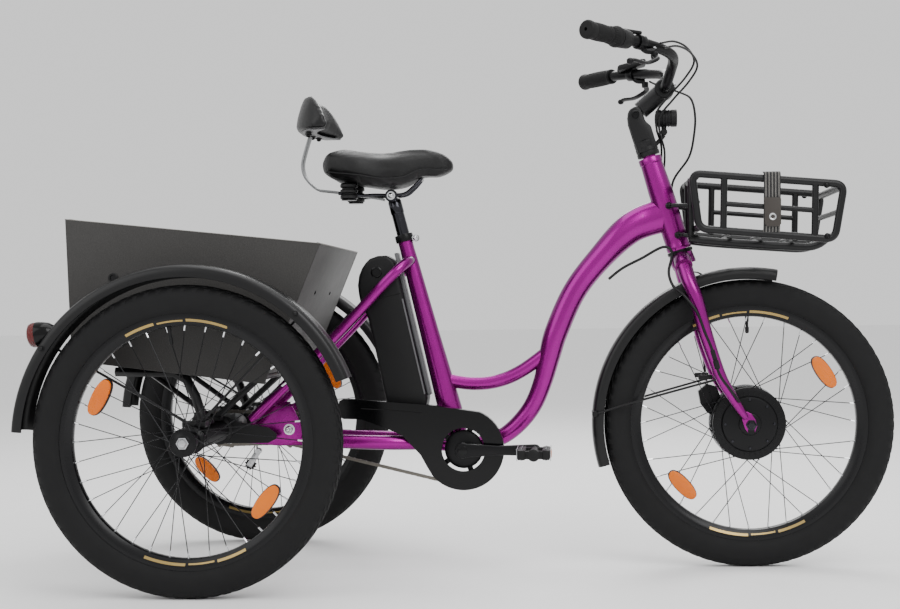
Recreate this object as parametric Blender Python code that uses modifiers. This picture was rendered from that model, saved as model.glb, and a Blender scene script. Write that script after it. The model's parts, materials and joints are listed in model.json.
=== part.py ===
"""Adult cargo tricycle with a motor in the front hub, modelled piece by piece.

The tricycle faces +X, its left side is +Y and it stands on z = 0.  Every place below is given from the
point on the floor under the rear axle; the empty called "datum" moves that point to the middle of the
tricycle's length, so that the part's own origin lies at the bottom centre of its box.
"""
import math

import bmesh
import bpy
from mathutils import Matrix, Vector

# ---------------------------------------------------------------- driving dimensions, in metres
WHEEL_RADIUS = 0.306          # 24 inch wheel with a 2.1 inch tyre
TYRE_HALF_WIDTH = 0.0265
TREAD_REACH = (WHEEL_RADIUS - 0.281) / math.cos(math.radians(29))
RIM_OUTER = 0.2558
RIM_INNER = 0.227
WHEELBASE = 1.1235
HALF_TRACK = 0.350
WHEEL_STEPS = 24
SPOKES = 18                    # each solid spoke stands for a pair of the real wheel's 36
SPOKE_RADIUS = 0.0010
GAP = 0.0003                  # clearance between pieces that touch

HEAD_TOP = Vector((0.921, 0.0, 0.8755))
HEAD_BOTTOM = Vector((0.982, 0.0, 0.678))
HEAD_RADIUS = 0.0245
STEERER_RADIUS = 0.0143
SEAT_TOP = Vector((0.3895, 0.0, 0.715))
SEAT_ANGLE = math.radians(14.3)
POST_RADIUS = 0.0136
POST_TOP_Z = 0.795
POST_LENGTH = 0.30
CRANK_CENTRE = Vector((0.5175, 0.0, 0.259))
CRANK_LENGTH = 0.1525
GEAR_HUB_CENTRE = Vector((0.145, 0.0, 0.305))
SHAFT_RADIUS = 0.010
HUB_INNER_FACE = 0.0405        # from the wheel's middle to the hub face that meets the rear axle
CARRIER_RADIUS = 0.0225
REAR_FENDER_RADIUS = 0.345
FRONT_FENDER_RADIUS = 0.332
FENDER_HALF_WIDTH = 0.034
FENDER_SKIRT = 0.024
FENDER_WALL = 0.002
MOTOR_RADIUS = 0.077
BOX_TILT = math.radians(6.5)
BOX_HALF_WIDTH = 0.255
BOX_WALL = 0.009
CHAIN_PITCH = 0.0127
RING_TEETH = 38
HUB_SPROCKET_TEETH = 16
AXLE_COG_TEETH = 18

FENDER_TAIL_DEG = 176
REAR_END = (REAR_FENDER_RADIUS + 0.001) * math.cos(math.radians(FENDER_TAIL_DEG))
FRONT_END = WHEELBASE + WHEEL_RADIUS
REAR_AXLE = Vector((0.0, 0.0, WHEEL_RADIUS))
FRONT_AXLE = Vector((WHEELBASE, 0.0, WHEEL_RADIUS))
HEAD_AXIS = (HEAD_TOP - HEAD_BOTTOM).normalized()
SEAT_AXIS = Vector((-math.sin(SEAT_ANGLE), 0.0, math.cos(SEAT_ANGLE)))
STEM_PIVOT = Vector((0.891, 0.0, 0.967))
LAMP_PIVOT = Vector((0.952, 0.0, 0.930))
X_AXIS = Vector((1.0, 0.0, 0.0))
Y_AXIS = Vector((0.0, 1.0, 0.0))
Z_AXIS = Vector((0.0, 0.0, 1.0))
SIDES = {"right": -1.0, "left": 1.0}


# ---------------------------------------------------------------- scene, collections and materials
def clear_scene():
    """Empty the scene and make the collections for the tricycle and for its passing cutters."""
    for old in list(bpy.data.objects):
        bpy.data.objects.remove(old, do_unlink=True)
    made = []
    for name in ("adult_tricycle", "workshop"):
        group = bpy.data.collections.new(name)
        bpy.context.scene.collection.children.link(group)
        made.append(group)
    return made


TRICYCLE, WORKSHOP = clear_scene()
DATUM = bpy.data.objects.new("datum", None)
DATUM.location = (-(REAR_END + FRONT_END) / 2, 0.0, 0.0)
TRICYCLE.objects.link(DATUM)


def material(name, colour, roughness, metallic=0.0):
    """Make one finish."""
    made = bpy.data.materials.new(name)
    made.use_nodes = True
    made.diffuse_color = (*colour, 1.0)
    shader = made.node_tree.nodes["Principled BSDF"]
    shader.inputs["Base Color"].default_value = (*colour, 1.0)
    shader.inputs["Roughness"].default_value = roughness
    shader.inputs["Metallic"].default_value = metallic
    return made


MAGENTA = material("magenta_lacquer", (0.27, 0.002, 0.20), 0.25, 0.3)
BLACK_PAINT = material("black_paint", (0.015, 0.015, 0.016), 0.35, 0.1)
BLACK_GLOSS = material("black_gloss_plastic", (0.006, 0.006, 0.007), 0.15)
BLACK_PLASTIC = material("black_plastic", (0.018, 0.018, 0.019), 0.5)
TYRE_RUBBER = material("tyre_rubber", (0.02, 0.02, 0.021), 0.75)
GRIP_RUBBER = material("grip_rubber", (0.016, 0.016, 0.016), 0.8)
STEEL = material("plated_steel", (0.6, 0.6, 0.61), 0.3, 1.0)
RED_LENS = material("red_lens", (0.35, 0.01, 0.01), 0.2)
LAMINATE = material("grey_laminate", (0.11, 0.105, 0.10), 0.6)
VINYL = material("black_vinyl", (0.012, 0.012, 0.013), 0.45)
WEBBING = material("elastic_webbing", (0.03, 0.03, 0.03), 0.9)


# ---------------------------------------------------------------- making and joining solids
def evaluated_mesh(obj):
    """Return obj as the viewport shows it, welded, and remove obj."""
    bpy.context.view_layer.update()
    graph = bpy.context.evaluated_depsgraph_get()
    mesh = bpy.data.meshes.new_from_object(obj.evaluated_get(graph))
    mesh.transform(obj.matrix_world)
    bpy.data.objects.remove(obj, do_unlink=True)
    return face_out(mesh)


def face_out(mesh):
    """Weld a mesh's doubles and point its faces outwards."""
    mesh.materials.clear()
    shape = bmesh.new()
    shape.from_mesh(mesh)
    bmesh.ops.remove_doubles(shape, verts=shape.verts, dist=1e-6)
    bmesh.ops.dissolve_degenerate(shape, dist=1e-6, edges=shape.edges)
    bmesh.ops.recalc_face_normals(shape, faces=shape.faces)
    shape.to_mesh(mesh)
    shape.free()
    return mesh


def workpiece(mesh_or_curve):
    """Put passing data in the workshop as a hidden object."""
    obj = bpy.data.objects.new("workpiece", mesh_or_curve)
    obj.hide_render = True
    obj.display_type = "WIRE"
    WORKSHOP.objects.link(obj)
    return obj


def combine(mesh, others, operation):
    """Join or cut a mesh with each of the others, which are used up."""
    for other in others:
        body = workpiece(mesh)
        tool = workpiece(other)
        step = body.modifiers.new("combine", "BOOLEAN")
        step.operation = operation
        step.solver = "EXACT"
        step.object = tool
        mesh = evaluated_mesh(body)
        bpy.data.objects.remove(tool, do_unlink=True)
    return mesh


def fuse(first, *others):
    """Join solids into one."""
    return combine(first, others, "UNION")


def cut(mesh, *tools):
    """Cut solids away from a mesh."""
    return combine(mesh, tools, "DIFFERENCE")


def loose_join(meshes):
    """Put meshes that don't meet into one, to be fused in a single step."""
    shape = bmesh.new()
    for mesh in meshes:
        shape.from_mesh(mesh)
    made = bpy.data.meshes.new("group")
    shape.to_mesh(made)
    shape.free()
    return made


def mirrored(mesh):
    """Copy a right-hand piece to the left."""
    made = mesh.copy()
    made.transform(Matrix.Scale(-1.0, 4, Y_AXIS))
    return face_out(made)


def between(start, end):
    """Return the matrix that lays a primitive centred on Z between two points."""
    start = Vector(start)
    end = Vector(end)
    turn = (end - start).to_track_quat("Z", "Y").to_matrix().to_4x4()
    return Matrix.Translation((start + end) / 2) @ turn


def rod(start, end, radius, end_radius=None, sides=10):
    """Make a straight round bar or cone between two points."""
    shape = bmesh.new()
    length = (Vector(end) - Vector(start)).length
    far_radius = radius if end_radius is None else end_radius
    bmesh.ops.create_cone(
        shape, cap_ends=True, segments=sides, radius1=radius, radius2=far_radius, depth=length,
        matrix=between(start, end),
    )
    return mesh_from(shape)


def block(low, high, turn_y=0.0):
    """Make a box between two corners, turned about Y through its centre."""
    low = Vector(low)
    high = Vector(high)
    size = high - low
    place = Matrix.Translation((low + high) / 2) @ Matrix.Rotation(turn_y, 4, "Y")
    shape = bmesh.new()
    bmesh.ops.create_cube(shape, size=1.0, matrix=place @ Matrix.Diagonal((*size, 1.0)))
    return mesh_from(shape)


def mesh_from(shape):
    """Turn a bmesh into a mesh whose faces point outwards."""
    made = bpy.data.meshes.new("solid")
    shape.to_mesh(made)
    shape.free()
    return face_out(made)


def smooth_path(points, parts=4, closed=False):
    """Run a Catmull-Rom curve through points of any dimension."""
    count = len(points)
    vectors = [Vector(p) for p in points]
    spans = count if closed else count - 1
    path = []
    for index in range(spans):
        if closed:
            knots = [vectors[(index + step) % count] for step in (-1, 0, 1, 2)]
        else:
            knots = [vectors[min(max(index + step, 0), count - 1)] for step in (-1, 0, 1, 2)]
        before, here, after, beyond = knots
        for part in range(parts):
            t = part / parts
            path.append(0.5 * (
                2 * here + (after - before) * t
                + (2 * before - 5 * here + 4 * after - beyond) * t * t
                + (3 * here - before - 3 * after + beyond) * t * t * t
            ))
    if not closed:
        path.append(vectors[-1])
    return path


def rounded_loop(corners, bend, steps=4):
    """Closed path through corners in X and Z, each one rounded."""
    path = []
    count = len(corners)
    for index in range(count):
        here = Vector(corners[index])
        before = (Vector(corners[index - 1]) - here).normalized() * bend
        after = (Vector(corners[(index + 1) % count]) - here).normalized() * bend
        for step in range(steps + 1):
            t = step / steps
            path.append(here + before * (1 - t) ** 2 + after * t ** 2)
    return path


def tube(points, radius, parts=4, closed=False, resolution=2, smooth=True):
    """Sweep a round section along points; a point may hold its own radius as a fourth number."""
    path = smooth_path(points, parts, closed) if smooth else [Vector(p) for p in points]
    curve = bpy.data.curves.new("tube", "CURVE")
    curve.dimensions = "3D"
    curve.bevel_depth = radius
    curve.bevel_resolution = resolution
    curve.use_fill_caps = not closed
    spline = curve.splines.new("POLY")
    spline.points.add(len(path) - 1)
    for knot, place in zip(spline.points, path):
        knot.co = (place[0], place[1], place[2], 1.0)
        knot.radius = place[3] / radius if len(place) > 3 else 1.0
    spline.use_cyclic_u = closed
    return evaluated_mesh(workpiece(curve))


def plate(outline, low_y, high_y):
    """Make a flat piece from its outline in X and Z, between two values of Y."""
    curve = bpy.data.curves.new("plate", "CURVE")
    curve.dimensions = "2D"
    curve.fill_mode = "BOTH"
    curve.extrude = (high_y - low_y) / 2
    spline = curve.splines.new("POLY")
    spline.points.add(len(outline) - 1)
    for knot, (x, z) in zip(spline.points, outline):
        knot.co = (x, z, 0.0, 1.0)
    spline.use_cyclic_u = True
    flat = workpiece(curve)
    flat.matrix_world = Matrix.Translation((0, (low_y + high_y) / 2, 0)) @ Matrix.Rotation(math.pi / 2, 4, "X")
    return evaluated_mesh(flat)


def turned(profile, start, direction, steps=24, closed=False):
    """Turn a profile of (radius, distance along the axis) about an axis through start."""
    shape = bmesh.new()
    knots = [shape.verts.new((radius, 0.0, along)) for radius, along in reversed(profile)]
    links = zip(knots, knots[1:] + knots[:1]) if closed else zip(knots, knots[1:])
    for here, after in links:
        shape.edges.new((here, after))
    mesh = bpy.data.meshes.new("profile")
    shape.to_mesh(mesh)
    shape.free()
    body = workpiece(mesh)
    screw = body.modifiers.new("turn", "SCREW")
    screw.steps = steps
    screw.render_steps = steps
    screw.use_merge_vertices = True
    screw.merge_threshold = 1e-5
    body.matrix_world = (
        Matrix.Translation(start) @ Vector(direction).to_track_quat("Z", "Y").to_matrix().to_4x4()
    )
    return evaluated_mesh(body)


def solid_profile(*corners):
    """Close a turned profile on its axis at both ends."""
    return [(0.0, corners[0][1]), *corners, (0.0, corners[-1][1])]


def node(name, mesh, finish, pivot=None):
    """Add a finished solid to the tricycle, with its origin on its joint's axis if it moves."""
    place = Vector(pivot) if pivot is not None else Vector()
    mesh.name = name
    mesh.transform(Matrix.Translation(-place))
    mesh.materials.append(finish)
    mesh.shade_smooth()
    mesh.set_sharp_from_angle(angle=math.radians(35))
    obj = bpy.data.objects.new(name, mesh)
    TRICYCLE.objects.link(obj)
    obj.parent = DATUM
    obj.location = place
    return obj


def arc(centre, radius, start_deg, end_deg, count):
    """Points of an arc in X and Z, angles from +X towards +Z."""
    points = []
    for index in range(count):
        angle = math.radians(start_deg + (end_deg - start_deg) * index / (count - 1))
        points.append((centre[0] + radius * math.cos(angle), centre[1] + radius * math.sin(angle)))
    return points


def strip_outline(path, thickness):
    """Outline of a bent flat bar seen edge on, from its centre line in X and Z."""
    centre = [Vector(p) for p in path]
    upper = []
    lower = []
    for index, point in enumerate(centre):
        ahead = centre[min(index + 1, len(centre) - 1)]
        behind = centre[max(index - 1, 0)]
        along = (ahead - behind).normalized()
        side = Vector((-along.y, along.x)) * thickness / 2
        upper.append(point + side)
        lower.append(point - side)
    return [tuple(p) for p in upper + lower[::-1]]


def head_point(height):
    """Point of the steering axis at a height."""
    return HEAD_BOTTOM + HEAD_AXIS * ((height - HEAD_BOTTOM.z) / HEAD_AXIS.z)


def seat_point(height):
    """Point of the seat tube's axis at a height."""
    return SEAT_TOP + SEAT_AXIS * ((height - SEAT_TOP.z) / SEAT_AXIS.z)


def pitch_radius(teeth):
    """Radius of the chain's path on a sprocket."""
    return CHAIN_PITCH / (2 * math.sin(math.pi / teeth))


# ---------------------------------------------------------------- wheels
def tyre_profile():
    """Closed section of a tyre: a carcass open towards the rim."""
    outer = []
    inner = []
    for index in range(6):
        angle = math.radians(-145 + 290 * index / 5)
        reach = TREAD_REACH if abs(angle) < math.pi / 2 else 0.030
        outer.append((0.281 + reach * math.cos(angle), TYRE_HALF_WIDTH * math.sin(angle)))
        inner.append((0.281 + (reach - 0.0035) * math.cos(angle), (TYRE_HALF_WIDTH - 0.003) * math.sin(angle)))
    return outer + inner[::-1]


def rim_profile():
    """Closed section of a hollow-looking rim, with its two flanges."""
    half = [(0.248, 0.012), (RIM_OUTER, 0.0155), (0.244, 0.0165), (RIM_INNER, 0.007)]
    return half + [(r, -y) for r, y in reversed(half)]


def spokes(centre, hub_radius, flange, lead_deg):
    """Lace the spokes: each flange's spokes lead and trail in turn, and none touches another."""
    made = []
    step = 720 / SPOKES
    for side in (-1, 1):
        for index in range(SPOKES // 2):
            rim_angle = math.radians(step * index + side * step / 4)
            lead = lead_deg if index % 2 else -lead_deg
            hub_angle = rim_angle + math.radians(lead)
            bow = 0.0035 if index % 2 else -0.0035
            inner = Vector((hub_radius * math.cos(hub_angle), side * (flange + bow), hub_radius * math.sin(hub_angle)))
            reach = 0.236
            outer = Vector((reach * math.cos(rim_angle), side * 0.004, reach * math.sin(rim_angle)))
            made.append(rod(centre + inner, centre + outer, SPOKE_RADIUS, sides=3))
    return loose_join(made)


def build_tyre(name, centre):
    """One tyre."""
    node(name, turned(tyre_profile(), centre, Y_AXIS, WHEEL_STEPS, closed=True), TYRE_RUBBER, centre)


def build_front_wheel():
    """Front tyre, laced rim, motor hub with its brake disc, and the fixed axle."""
    build_tyre("front_tyre", FRONT_AXLE)
    rim = turned(rim_profile(), FRONT_AXLE, Y_AXIS, WHEEL_STEPS, closed=True)
    rim = fuse(rim, spokes(FRONT_AXLE, MOTOR_RADIUS + 0.0012, 0.024, 40))
    node("front_rim", rim, BLACK_PAINT, FRONT_AXLE)
    bore = 0.0066
    casing = [
        (bore, -0.040), (0.022, -0.040), (0.024, -0.036), (0.057, -0.035), (0.059, -0.030), (MOTOR_RADIUS, -0.029),
        (MOTOR_RADIUS, 0.029), (0.058, 0.034), (0.022, 0.036), (0.022, 0.0405), (0.080, 0.0405), (0.080, 0.0425),
        (bore, 0.0425),
    ]
    hub = turned(casing, FRONT_AXLE, Y_AXIS, 20, closed=True)
    node("hub_motor", hub, BLACK_PAINT, FRONT_AXLE)
    half = [(0.0095, 0.0), (0.0095, 0.009), (0.006, 0.0091)]
    nut = [(r, 0.072 - a) for r, a in half]
    axle = turned(
        solid_profile(*[(r, -a) for r, a in nut], *reversed(nut)), FRONT_AXLE, Y_AXIS, 12,
    )
    node("front_axle", axle, STEEL)


def build_rear_wheel(side):
    """Rear tyre, and the laced rim with its hub."""
    sign = SIDES[side]
    centre = REAR_AXLE + Y_AXIS * sign * HALF_TRACK
    build_tyre(f"rear_tyre_{side}", centre)
    rim = turned(rim_profile(), centre, Y_AXIS, WHEEL_STEPS, closed=True)
    outward = Y_AXIS * sign
    hub = turned(solid_profile(
        (0.016, -HUB_INNER_FACE), (0.016, -0.036), (0.027, -0.035),
        (0.027, -0.027), (0.018, -0.025), (0.018, 0.025), (0.027, 0.027), (0.027, 0.035), (0.015, 0.036),
        (0.011, 0.0365), (0.011, 0.045),
    ), centre, outward, 12)
    wheel = fuse(rim, spokes(centre, 0.0235, 0.031, 60), hub)
    node(f"rear_wheel_{side}", wheel, BLACK_PAINT, centre)


# ---------------------------------------------------------------- frame
def head_outside(grow=0.0):
    """The head tube's outer shape, as a cutter when grown."""
    length = (HEAD_TOP - HEAD_BOTTOM).length
    return turned(solid_profile(
        (HEAD_RADIUS + grow, -grow), (0.0255 + grow, 0.010), (0.0262 + grow, 0.07), (0.0262 + grow, 0.14),
        (HEAD_RADIUS - 0.001 + grow, length - 0.02), (HEAD_RADIUS - 0.001 + grow, length + grow),
    ), HEAD_BOTTOM, HEAD_AXIS, 16)


def seat_outside(grow=0.0):
    """The tapered seat tube's outer shape, as a cutter when grown."""
    bottom = seat_point(0.268)
    length = (SEAT_TOP - bottom).length
    return turned(solid_profile(
        (0.0205 + grow, -grow), (0.0262 + grow, 0.075), (0.0158 + grow, length - 0.03), (0.0158 + grow, length + grow),
    ), bottom, SEAT_AXIS, 16)


def shell_outside(grow=0.0, half=0.034):
    """The bottom bracket shell's outer shape."""
    return rod(CRANK_CENTRE - Y_AXIS * half, CRANK_CENTRE + Y_AXIS * half, 0.0215 + grow, sides=16)


def main_tube_solid(grow=0.0):
    """The big curved tube that runs from the head tube down to the crank, thinning on the way."""
    route = [
        (0.945, 0, 0.752, 0.037), (0.880, 0, 0.727, 0.0335), (0.8125, 0, 0.6625, 0.0275), (0.757, 0, 0.592, 0.0258),
        (0.7175, 0, 0.507, 0.0256), (0.7015, 0, 0.4535, 0.0235), (0.6865, 0, 0.3995, 0.0208),
        (0.666, 0, 0.3505, 0.0198), (0.6365, 0, 0.3115, 0.019), (0.600, 0, 0.282, 0.0178), (0.557, 0, 0.2665, 0.017),
        (0.522, 0, 0.260, 0.0165),
    ]
    return tube([(x, y, z, r + grow) for x, y, z, r in route], 0.030, parts=2, resolution=3)


def build_front_frame():
    """Head tube, main tube, lower brace and seat tube with the bottom bracket shell."""
    steerer_bore = rod(HEAD_BOTTOM - HEAD_AXIS * 0.01, HEAD_TOP + HEAD_AXIS * 0.01, 0.0150, sides=16)
    node("head_tube", cut(head_outside(), steerer_bore), MAGENTA)
    main = cut(main_tube_solid(), head_outside(GAP), shell_outside(GAP, 0.05))
    node("main_tube", main, MAGENTA)
    brace = tube([
        (0.470, 0, 0.408), (0.496, 0, 0.401), (0.531, 0, 0.396), (0.569, 0, 0.397), (0.607, 0, 0.406),
        (0.641, 0, 0.422), (0.675, 0, 0.445), (0.700, 0, 0.465),
    ], 0.0145, parts=2, resolution=3)
    node("lower_brace", cut(brace, main_tube_solid(GAP), seat_outside(GAP)), MAGENTA)
    bore_end = seat_point(0.40)
    post_bore = rod(bore_end, SEAT_TOP + SEAT_AXIS * 0.01, POST_RADIUS + GAP, sides=16)
    spindle_bore = rod(CRANK_CENTRE - Y_AXIS * 0.05, CRANK_CENTRE + Y_AXIS * 0.05, 0.0095, sides=16)
    seat_tube = fuse(seat_outside(), shell_outside())
    node("seat_tube", cut(seat_tube, post_bore, spindle_bore), MAGENTA)


def build_rear_frame():
    """Chain stays with their end plates, and seat stays."""
    stay = tube([
        (0.530, -0.024, 0.2600, 0.0115), (0.488, -0.027, 0.2635, 0.0120), (0.440, -0.030, 0.268, 0.0125),
        (0.395, -0.0450, 0.272, 0.0150), (0.350, -0.055, 0.274, 0.0155), (0.262, -0.060, 0.2775, 0.0150),
        (0.205, -0.0615, 0.281, 0.0140), (0.170, -0.062, 0.284, 0.0080),
    ], 0.015, parts=2)
    end_plate = plate([
        (0.200, 0.271), (0.214, 0.281), (0.200, 0.292), (0.168, 0.322), (0.152, 0.354), (0.110, 0.356),
        (0.058, 0.318), (0.052, 0.276), (0.120, 0.270),
    ], -0.0665, -0.0605)
    axle_slot = rod(GEAR_HUB_CENTRE - Y_AXIS * 0.09, GEAR_HUB_CENTRE, 0.0064, sides=12)
    right = cut(fuse(stay, end_plate), shell_outside(GAP, 0.05), seat_outside(GAP), axle_slot)
    node("chain_stay_left", mirrored(right), MAGENTA)
    node("chain_stay_right", right, MAGENTA)
    upper = tube([
        (0.4035, -0.006, 0.664), (0.399, -0.034, 0.659), (0.381, -0.055, 0.642), (0.350, -0.0590, 0.611),
        (0.264, -0.0640, 0.520), (0.150, -0.0720, 0.408), (0.098, -0.0795, 0.357), (0.066, -0.0805, 0.326),
    ], 0.0115, parts=2)
    upper = cut(upper, seat_outside(GAP))
    node("seat_stay_left", mirrored(upper), MAGENTA)
    node("seat_stay_right", upper, MAGENTA)


def carrier_outside(grow=0.0):
    """The two bearing tubes of the axle carrier, right-hand one."""
    return rod((0, -0.287, WHEEL_RADIUS), (0, -0.086, WHEEL_RADIUS), CARRIER_RADIUS + grow, sides=16)


def build_axle_carrier():
    """Black welded carrier: bearing tubes for the rear axle, side plates and the bridge behind it."""
    halves = []
    for sign in (-1, 1):
        side_plate = plate([
            (-0.030, 0.279), (0.105, 0.279), (0.123, 0.288), (0.123, 0.299), (0.105, 0.312), (0.045, 0.322),
            (0.020, 0.334), (-0.020, 0.345), (-0.052, 0.345), (-0.060, 0.325),
        ], -0.0965, -0.0925)
        lug = rod((0, -0.100, WHEEL_RADIUS), (0, -0.0880, WHEEL_RADIUS), 0.030, sides=16)
        half = fuse(carrier_outside(), lug, side_plate)
        halves.append(half if sign < 0 else mirrored(half))
    bridge = rod((-0.044, -0.094, 0.332), (-0.044, 0.094, 0.332), 0.011, sides=8)
    carrier = fuse(halves[0], bridge, halves[1])
    shaft_bore = rod((0, -0.30, WHEEL_RADIUS), (0, 0.30, WHEEL_RADIUS), SHAFT_RADIUS + 0.0005, sides=16)
    cog_room = rod((0, -0.084, WHEEL_RADIUS), (0, 0.084, WHEEL_RADIUS), 0.030, sides=16)
    node("axle_carrier", cut(carrier, shaft_bore, cog_room), BLACK_PAINT)


def floor_underside(x):
    """Height of the cargo floor's underside at x."""
    return 0.450 - math.tan(BOX_TILT) * (x + 0.05)


def build_rack():
    """Tubular rack that carries the cargo box on the axle carrier."""
    lift = 0.0107
    radius = 0.010

    def under(x):
        return floor_underside(x) - lift

    pieces = [
        rod((-0.172, -0.212, under(-0.172)), (-0.172, 0.212, under(-0.172)), radius),
        rod((0.098, -0.212, under(0.098)), (0.098, 0.212, under(0.098)), radius),
    ]
    for sign in (-1, 1):
        pieces.append(rod((-0.176, sign * 0.105, under(-0.176)), (0.100, sign * 0.105, under(0.100)), radius * 0.97))
        pieces.append(tube([
            (-0.188, sign * 0.200, 0.4375), (-0.12, sign * 0.200, 0.4370), (-0.065, sign * 0.200, 0.4345),
            (-0.040, sign * 0.200, 0.420), (-0.022, sign * 0.200, 0.385), (-0.006, sign * 0.200, 0.334),
        ], 0.0105, parts=1, resolution=1))
        pieces.append(rod((-0.002, sign * 0.118, 0.334), (0.094, sign * 0.118, under(0.094) - 0.003), 0.007, sides=6))
        pieces.append(rod((-0.006, sign * 0.123, 0.334), (-0.164, sign * 0.123, under(-0.164) - 0.003), 0.006, sides=6))
        for y in (0.200, 0.120):
            pieces.append(block((-0.020, sign * y - 0.014, 0.3295), (0.012, sign * y + 0.014, 0.3365)))
    rack = fuse(pieces[0], *pieces[1:])
    node("rack_frame", cut(rack, carrier_outside(GAP), mirrored(carrier_outside(GAP))), BLACK_PAINT)


# ---------------------------------------------------------------- cargo box
BOX_REAR_TOP = Vector((-0.271, 0.750))
BOX_FRONT_TOP = Vector((0.250, 0.693))
BOX_FRONT_BOTTOM = Vector((0.132, 0.412))
BOX_REAR_BOTTOM = Vector((-0.262, 0.463))


def slanted_panel(top, bottom, inward, half_width):
    """A panel between two points of the side view, thickened inwards."""
    run = (bottom - top).normalized()
    side = Vector((-run.y, run.x)) * BOX_WALL * inward
    outline = [tuple(top), tuple(bottom), tuple(bottom + side), tuple(top + side)]
    return plate(outline, -half_width, half_width)


def build_cargo_box():
    """Five laminate panels: two sides, front, rear and floor."""
    outline = [tuple(p) for p in (BOX_REAR_TOP, BOX_REAR_BOTTOM, BOX_FRONT_BOTTOM, BOX_FRONT_TOP)]
    right = plate(outline, -BOX_HALF_WIDTH, -BOX_HALF_WIDTH + BOX_WALL)
    node("box_side_left", mirrored(right), LAMINATE)
    node("box_side_right", right, LAMINATE)
    inner = BOX_HALF_WIDTH - BOX_WALL - GAP
    drop = (BOX_FRONT_BOTTOM - BOX_FRONT_TOP)
    front_bottom = BOX_FRONT_TOP + drop * 0.925
    node("box_front", slanted_panel(BOX_FRONT_TOP, front_bottom, -1, inner), LAMINATE)
    lift = (BOX_REAR_TOP - BOX_REAR_BOTTOM) * 0.03
    node("box_rear", slanted_panel(BOX_REAR_TOP, BOX_REAR_BOTTOM + lift, 1, inner), LAMINATE)
    low_x = -0.2515
    high_x = 0.1285
    floor = [
        (low_x, floor_underside(low_x)), (high_x, floor_underside(high_x)),
        (high_x + 0.0035, floor_underside(high_x) + BOX_WALL), (low_x, floor_underside(low_x) + BOX_WALL),
    ]
    node("box_floor", plate(floor, -inner, inner), LAMINATE)


# ---------------------------------------------------------------- fenders and lights
def fender_section(radius):
    """Closed section of a fender in (radius, sideways): a shallow channel with skirts."""
    inner = radius - FENDER_SKIRT
    half = FENDER_HALF_WIDTH
    wall = FENDER_WALL
    outer = [(inner, -half), (radius - 0.004, -half + 0.003), (radius + 0.001, 0.0)]
    outer += [(r, -y) for r, y in outer[-2::-1]]
    back = [(inner, half - wall), (radius - 0.006, half - wall - 0.003), (radius + 0.001 - wall, 0.0)]
    back += [(r, -y) for r, y in back[-2::-1]]
    return outer + back


def fender(centre, radius, start_deg, end_deg, steps):
    """Sweep the fender's section round part of a wheel."""
    shape = bmesh.new()
    rows = []
    for index in range(steps + 1):
        angle = math.radians(start_deg + (end_deg - start_deg) * index / steps)
        row = []
        for reach, sideways in fender_section(radius):
            row.append(shape.verts.new((
                centre.x + reach * math.cos(angle), centre.y + sideways, centre.z + reach * math.sin(angle),
            )))
        rows.append(row)
    count = len(rows[0])
    for near, far in zip(rows, rows[1:]):
        for index in range(count):
            after = (index + 1) % count
            shape.faces.new((near[index], near[after], far[after], far[index]))
    shape.faces.new(rows[0])
    shape.faces.new(rows[-1])
    bmesh.ops.triangulate(shape, faces=[f for f in shape.faces if len(f.verts) > 4])
    return mesh_from(shape)


def build_rear_fender(side):
    """Rear fender with its two wire struts to the axle carrier, and its tail lamp."""
    sign = SIDES[side]
    centre = REAR_AXLE - Y_AXIS * HALF_TRACK
    shell = fender(centre, REAR_FENDER_RADIUS, 21, FENDER_TAIL_DEG, 13)
    inner_y = -HALF_TRACK + FENDER_HALF_WIDTH - 0.001
    struts = []
    for angle in (48, 146):
        turn = math.radians(angle)
        reach = REAR_FENDER_RADIUS - 0.014
        far = (reach * math.cos(turn), inner_y, WHEEL_RADIUS + reach * math.sin(turn))
        struts.append(rod((0.012 * math.cos(turn), -0.300, WHEEL_RADIUS + 0.012 + 0.02), far, 0.0028, sides=8))
    foot = block((-0.024, -0.303, WHEEL_RADIUS + 0.0235), (0.024, -0.268, WHEEL_RADIUS + 0.0350))
    right = fuse(shell, struts[0], struts[1], foot)
    lamp_axis = (Vector((-0.309, 0, 0.517)) - Vector((-0.250, 0, 0.524))).normalized()
    lamp_start = Vector((-0.250, -HALF_TRACK, 0.524))
    lamp = turned(solid_profile(
        (0.014, 0.0), (0.021, 0.020), (0.0245, 0.046), (0.0245, 0.056), (0.017, 0.062),
    ), lamp_start, lamp_axis, 16)
    lamp = cut(lamp, fender_envelope(centre))
    if sign > 0:
        right = mirrored(right)
        lamp = mirrored(lamp)
    node(f"rear_fender_{side}", right, BLACK_PLASTIC)
    if side == "right":
        node("tail_lamp", lamp, RED_LENS)


def fender_envelope(centre):
    """A drum that just holds the rear fender, for cutting what sits on it."""
    profile = [(REAR_FENDER_RADIUS + 0.001 + GAP, -0.05), (REAR_FENDER_RADIUS + 0.001 + GAP, 0.05)]
    return turned(solid_profile(*profile), centre, Y_AXIS, 72)


# ---------------------------------------------------------------- drive
def loop_round(first, first_radius, second, second_radius, count):
    """Closed path of a chain round two sprockets, in X and Z; the first lies ahead."""
    first = Vector((first.x, first.z))
    second = Vector((second.x, second.z))
    apart = (first - second).length
    lean = math.degrees(math.atan2(first.y - second.y, first.x - second.x))
    open_angle = math.degrees(math.acos((first_radius - second_radius) / apart))
    ahead = arc(first, first_radius, lean - (180 - open_angle), lean + (180 - open_angle), count)
    behind = arc(second, second_radius, lean + (180 - open_angle), lean + 360 - (180 - open_angle), count)
    return ahead + behind


def chain_loop(first, first_teeth, second, second_teeth, y):
    """A chain as a closed band round two sprockets."""
    outline = loop_round(first, pitch_radius(first_teeth) + 0.0038, second, pitch_radius(second_teeth) + 0.0038, 14)
    inside = loop_round(first, pitch_radius(first_teeth) - 0.0034, second, pitch_radius(second_teeth) - 0.0034, 14)
    return cut(plate(outline, y - 0.004, y + 0.004), plate(inside, y - 0.02, y + 0.02))


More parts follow.
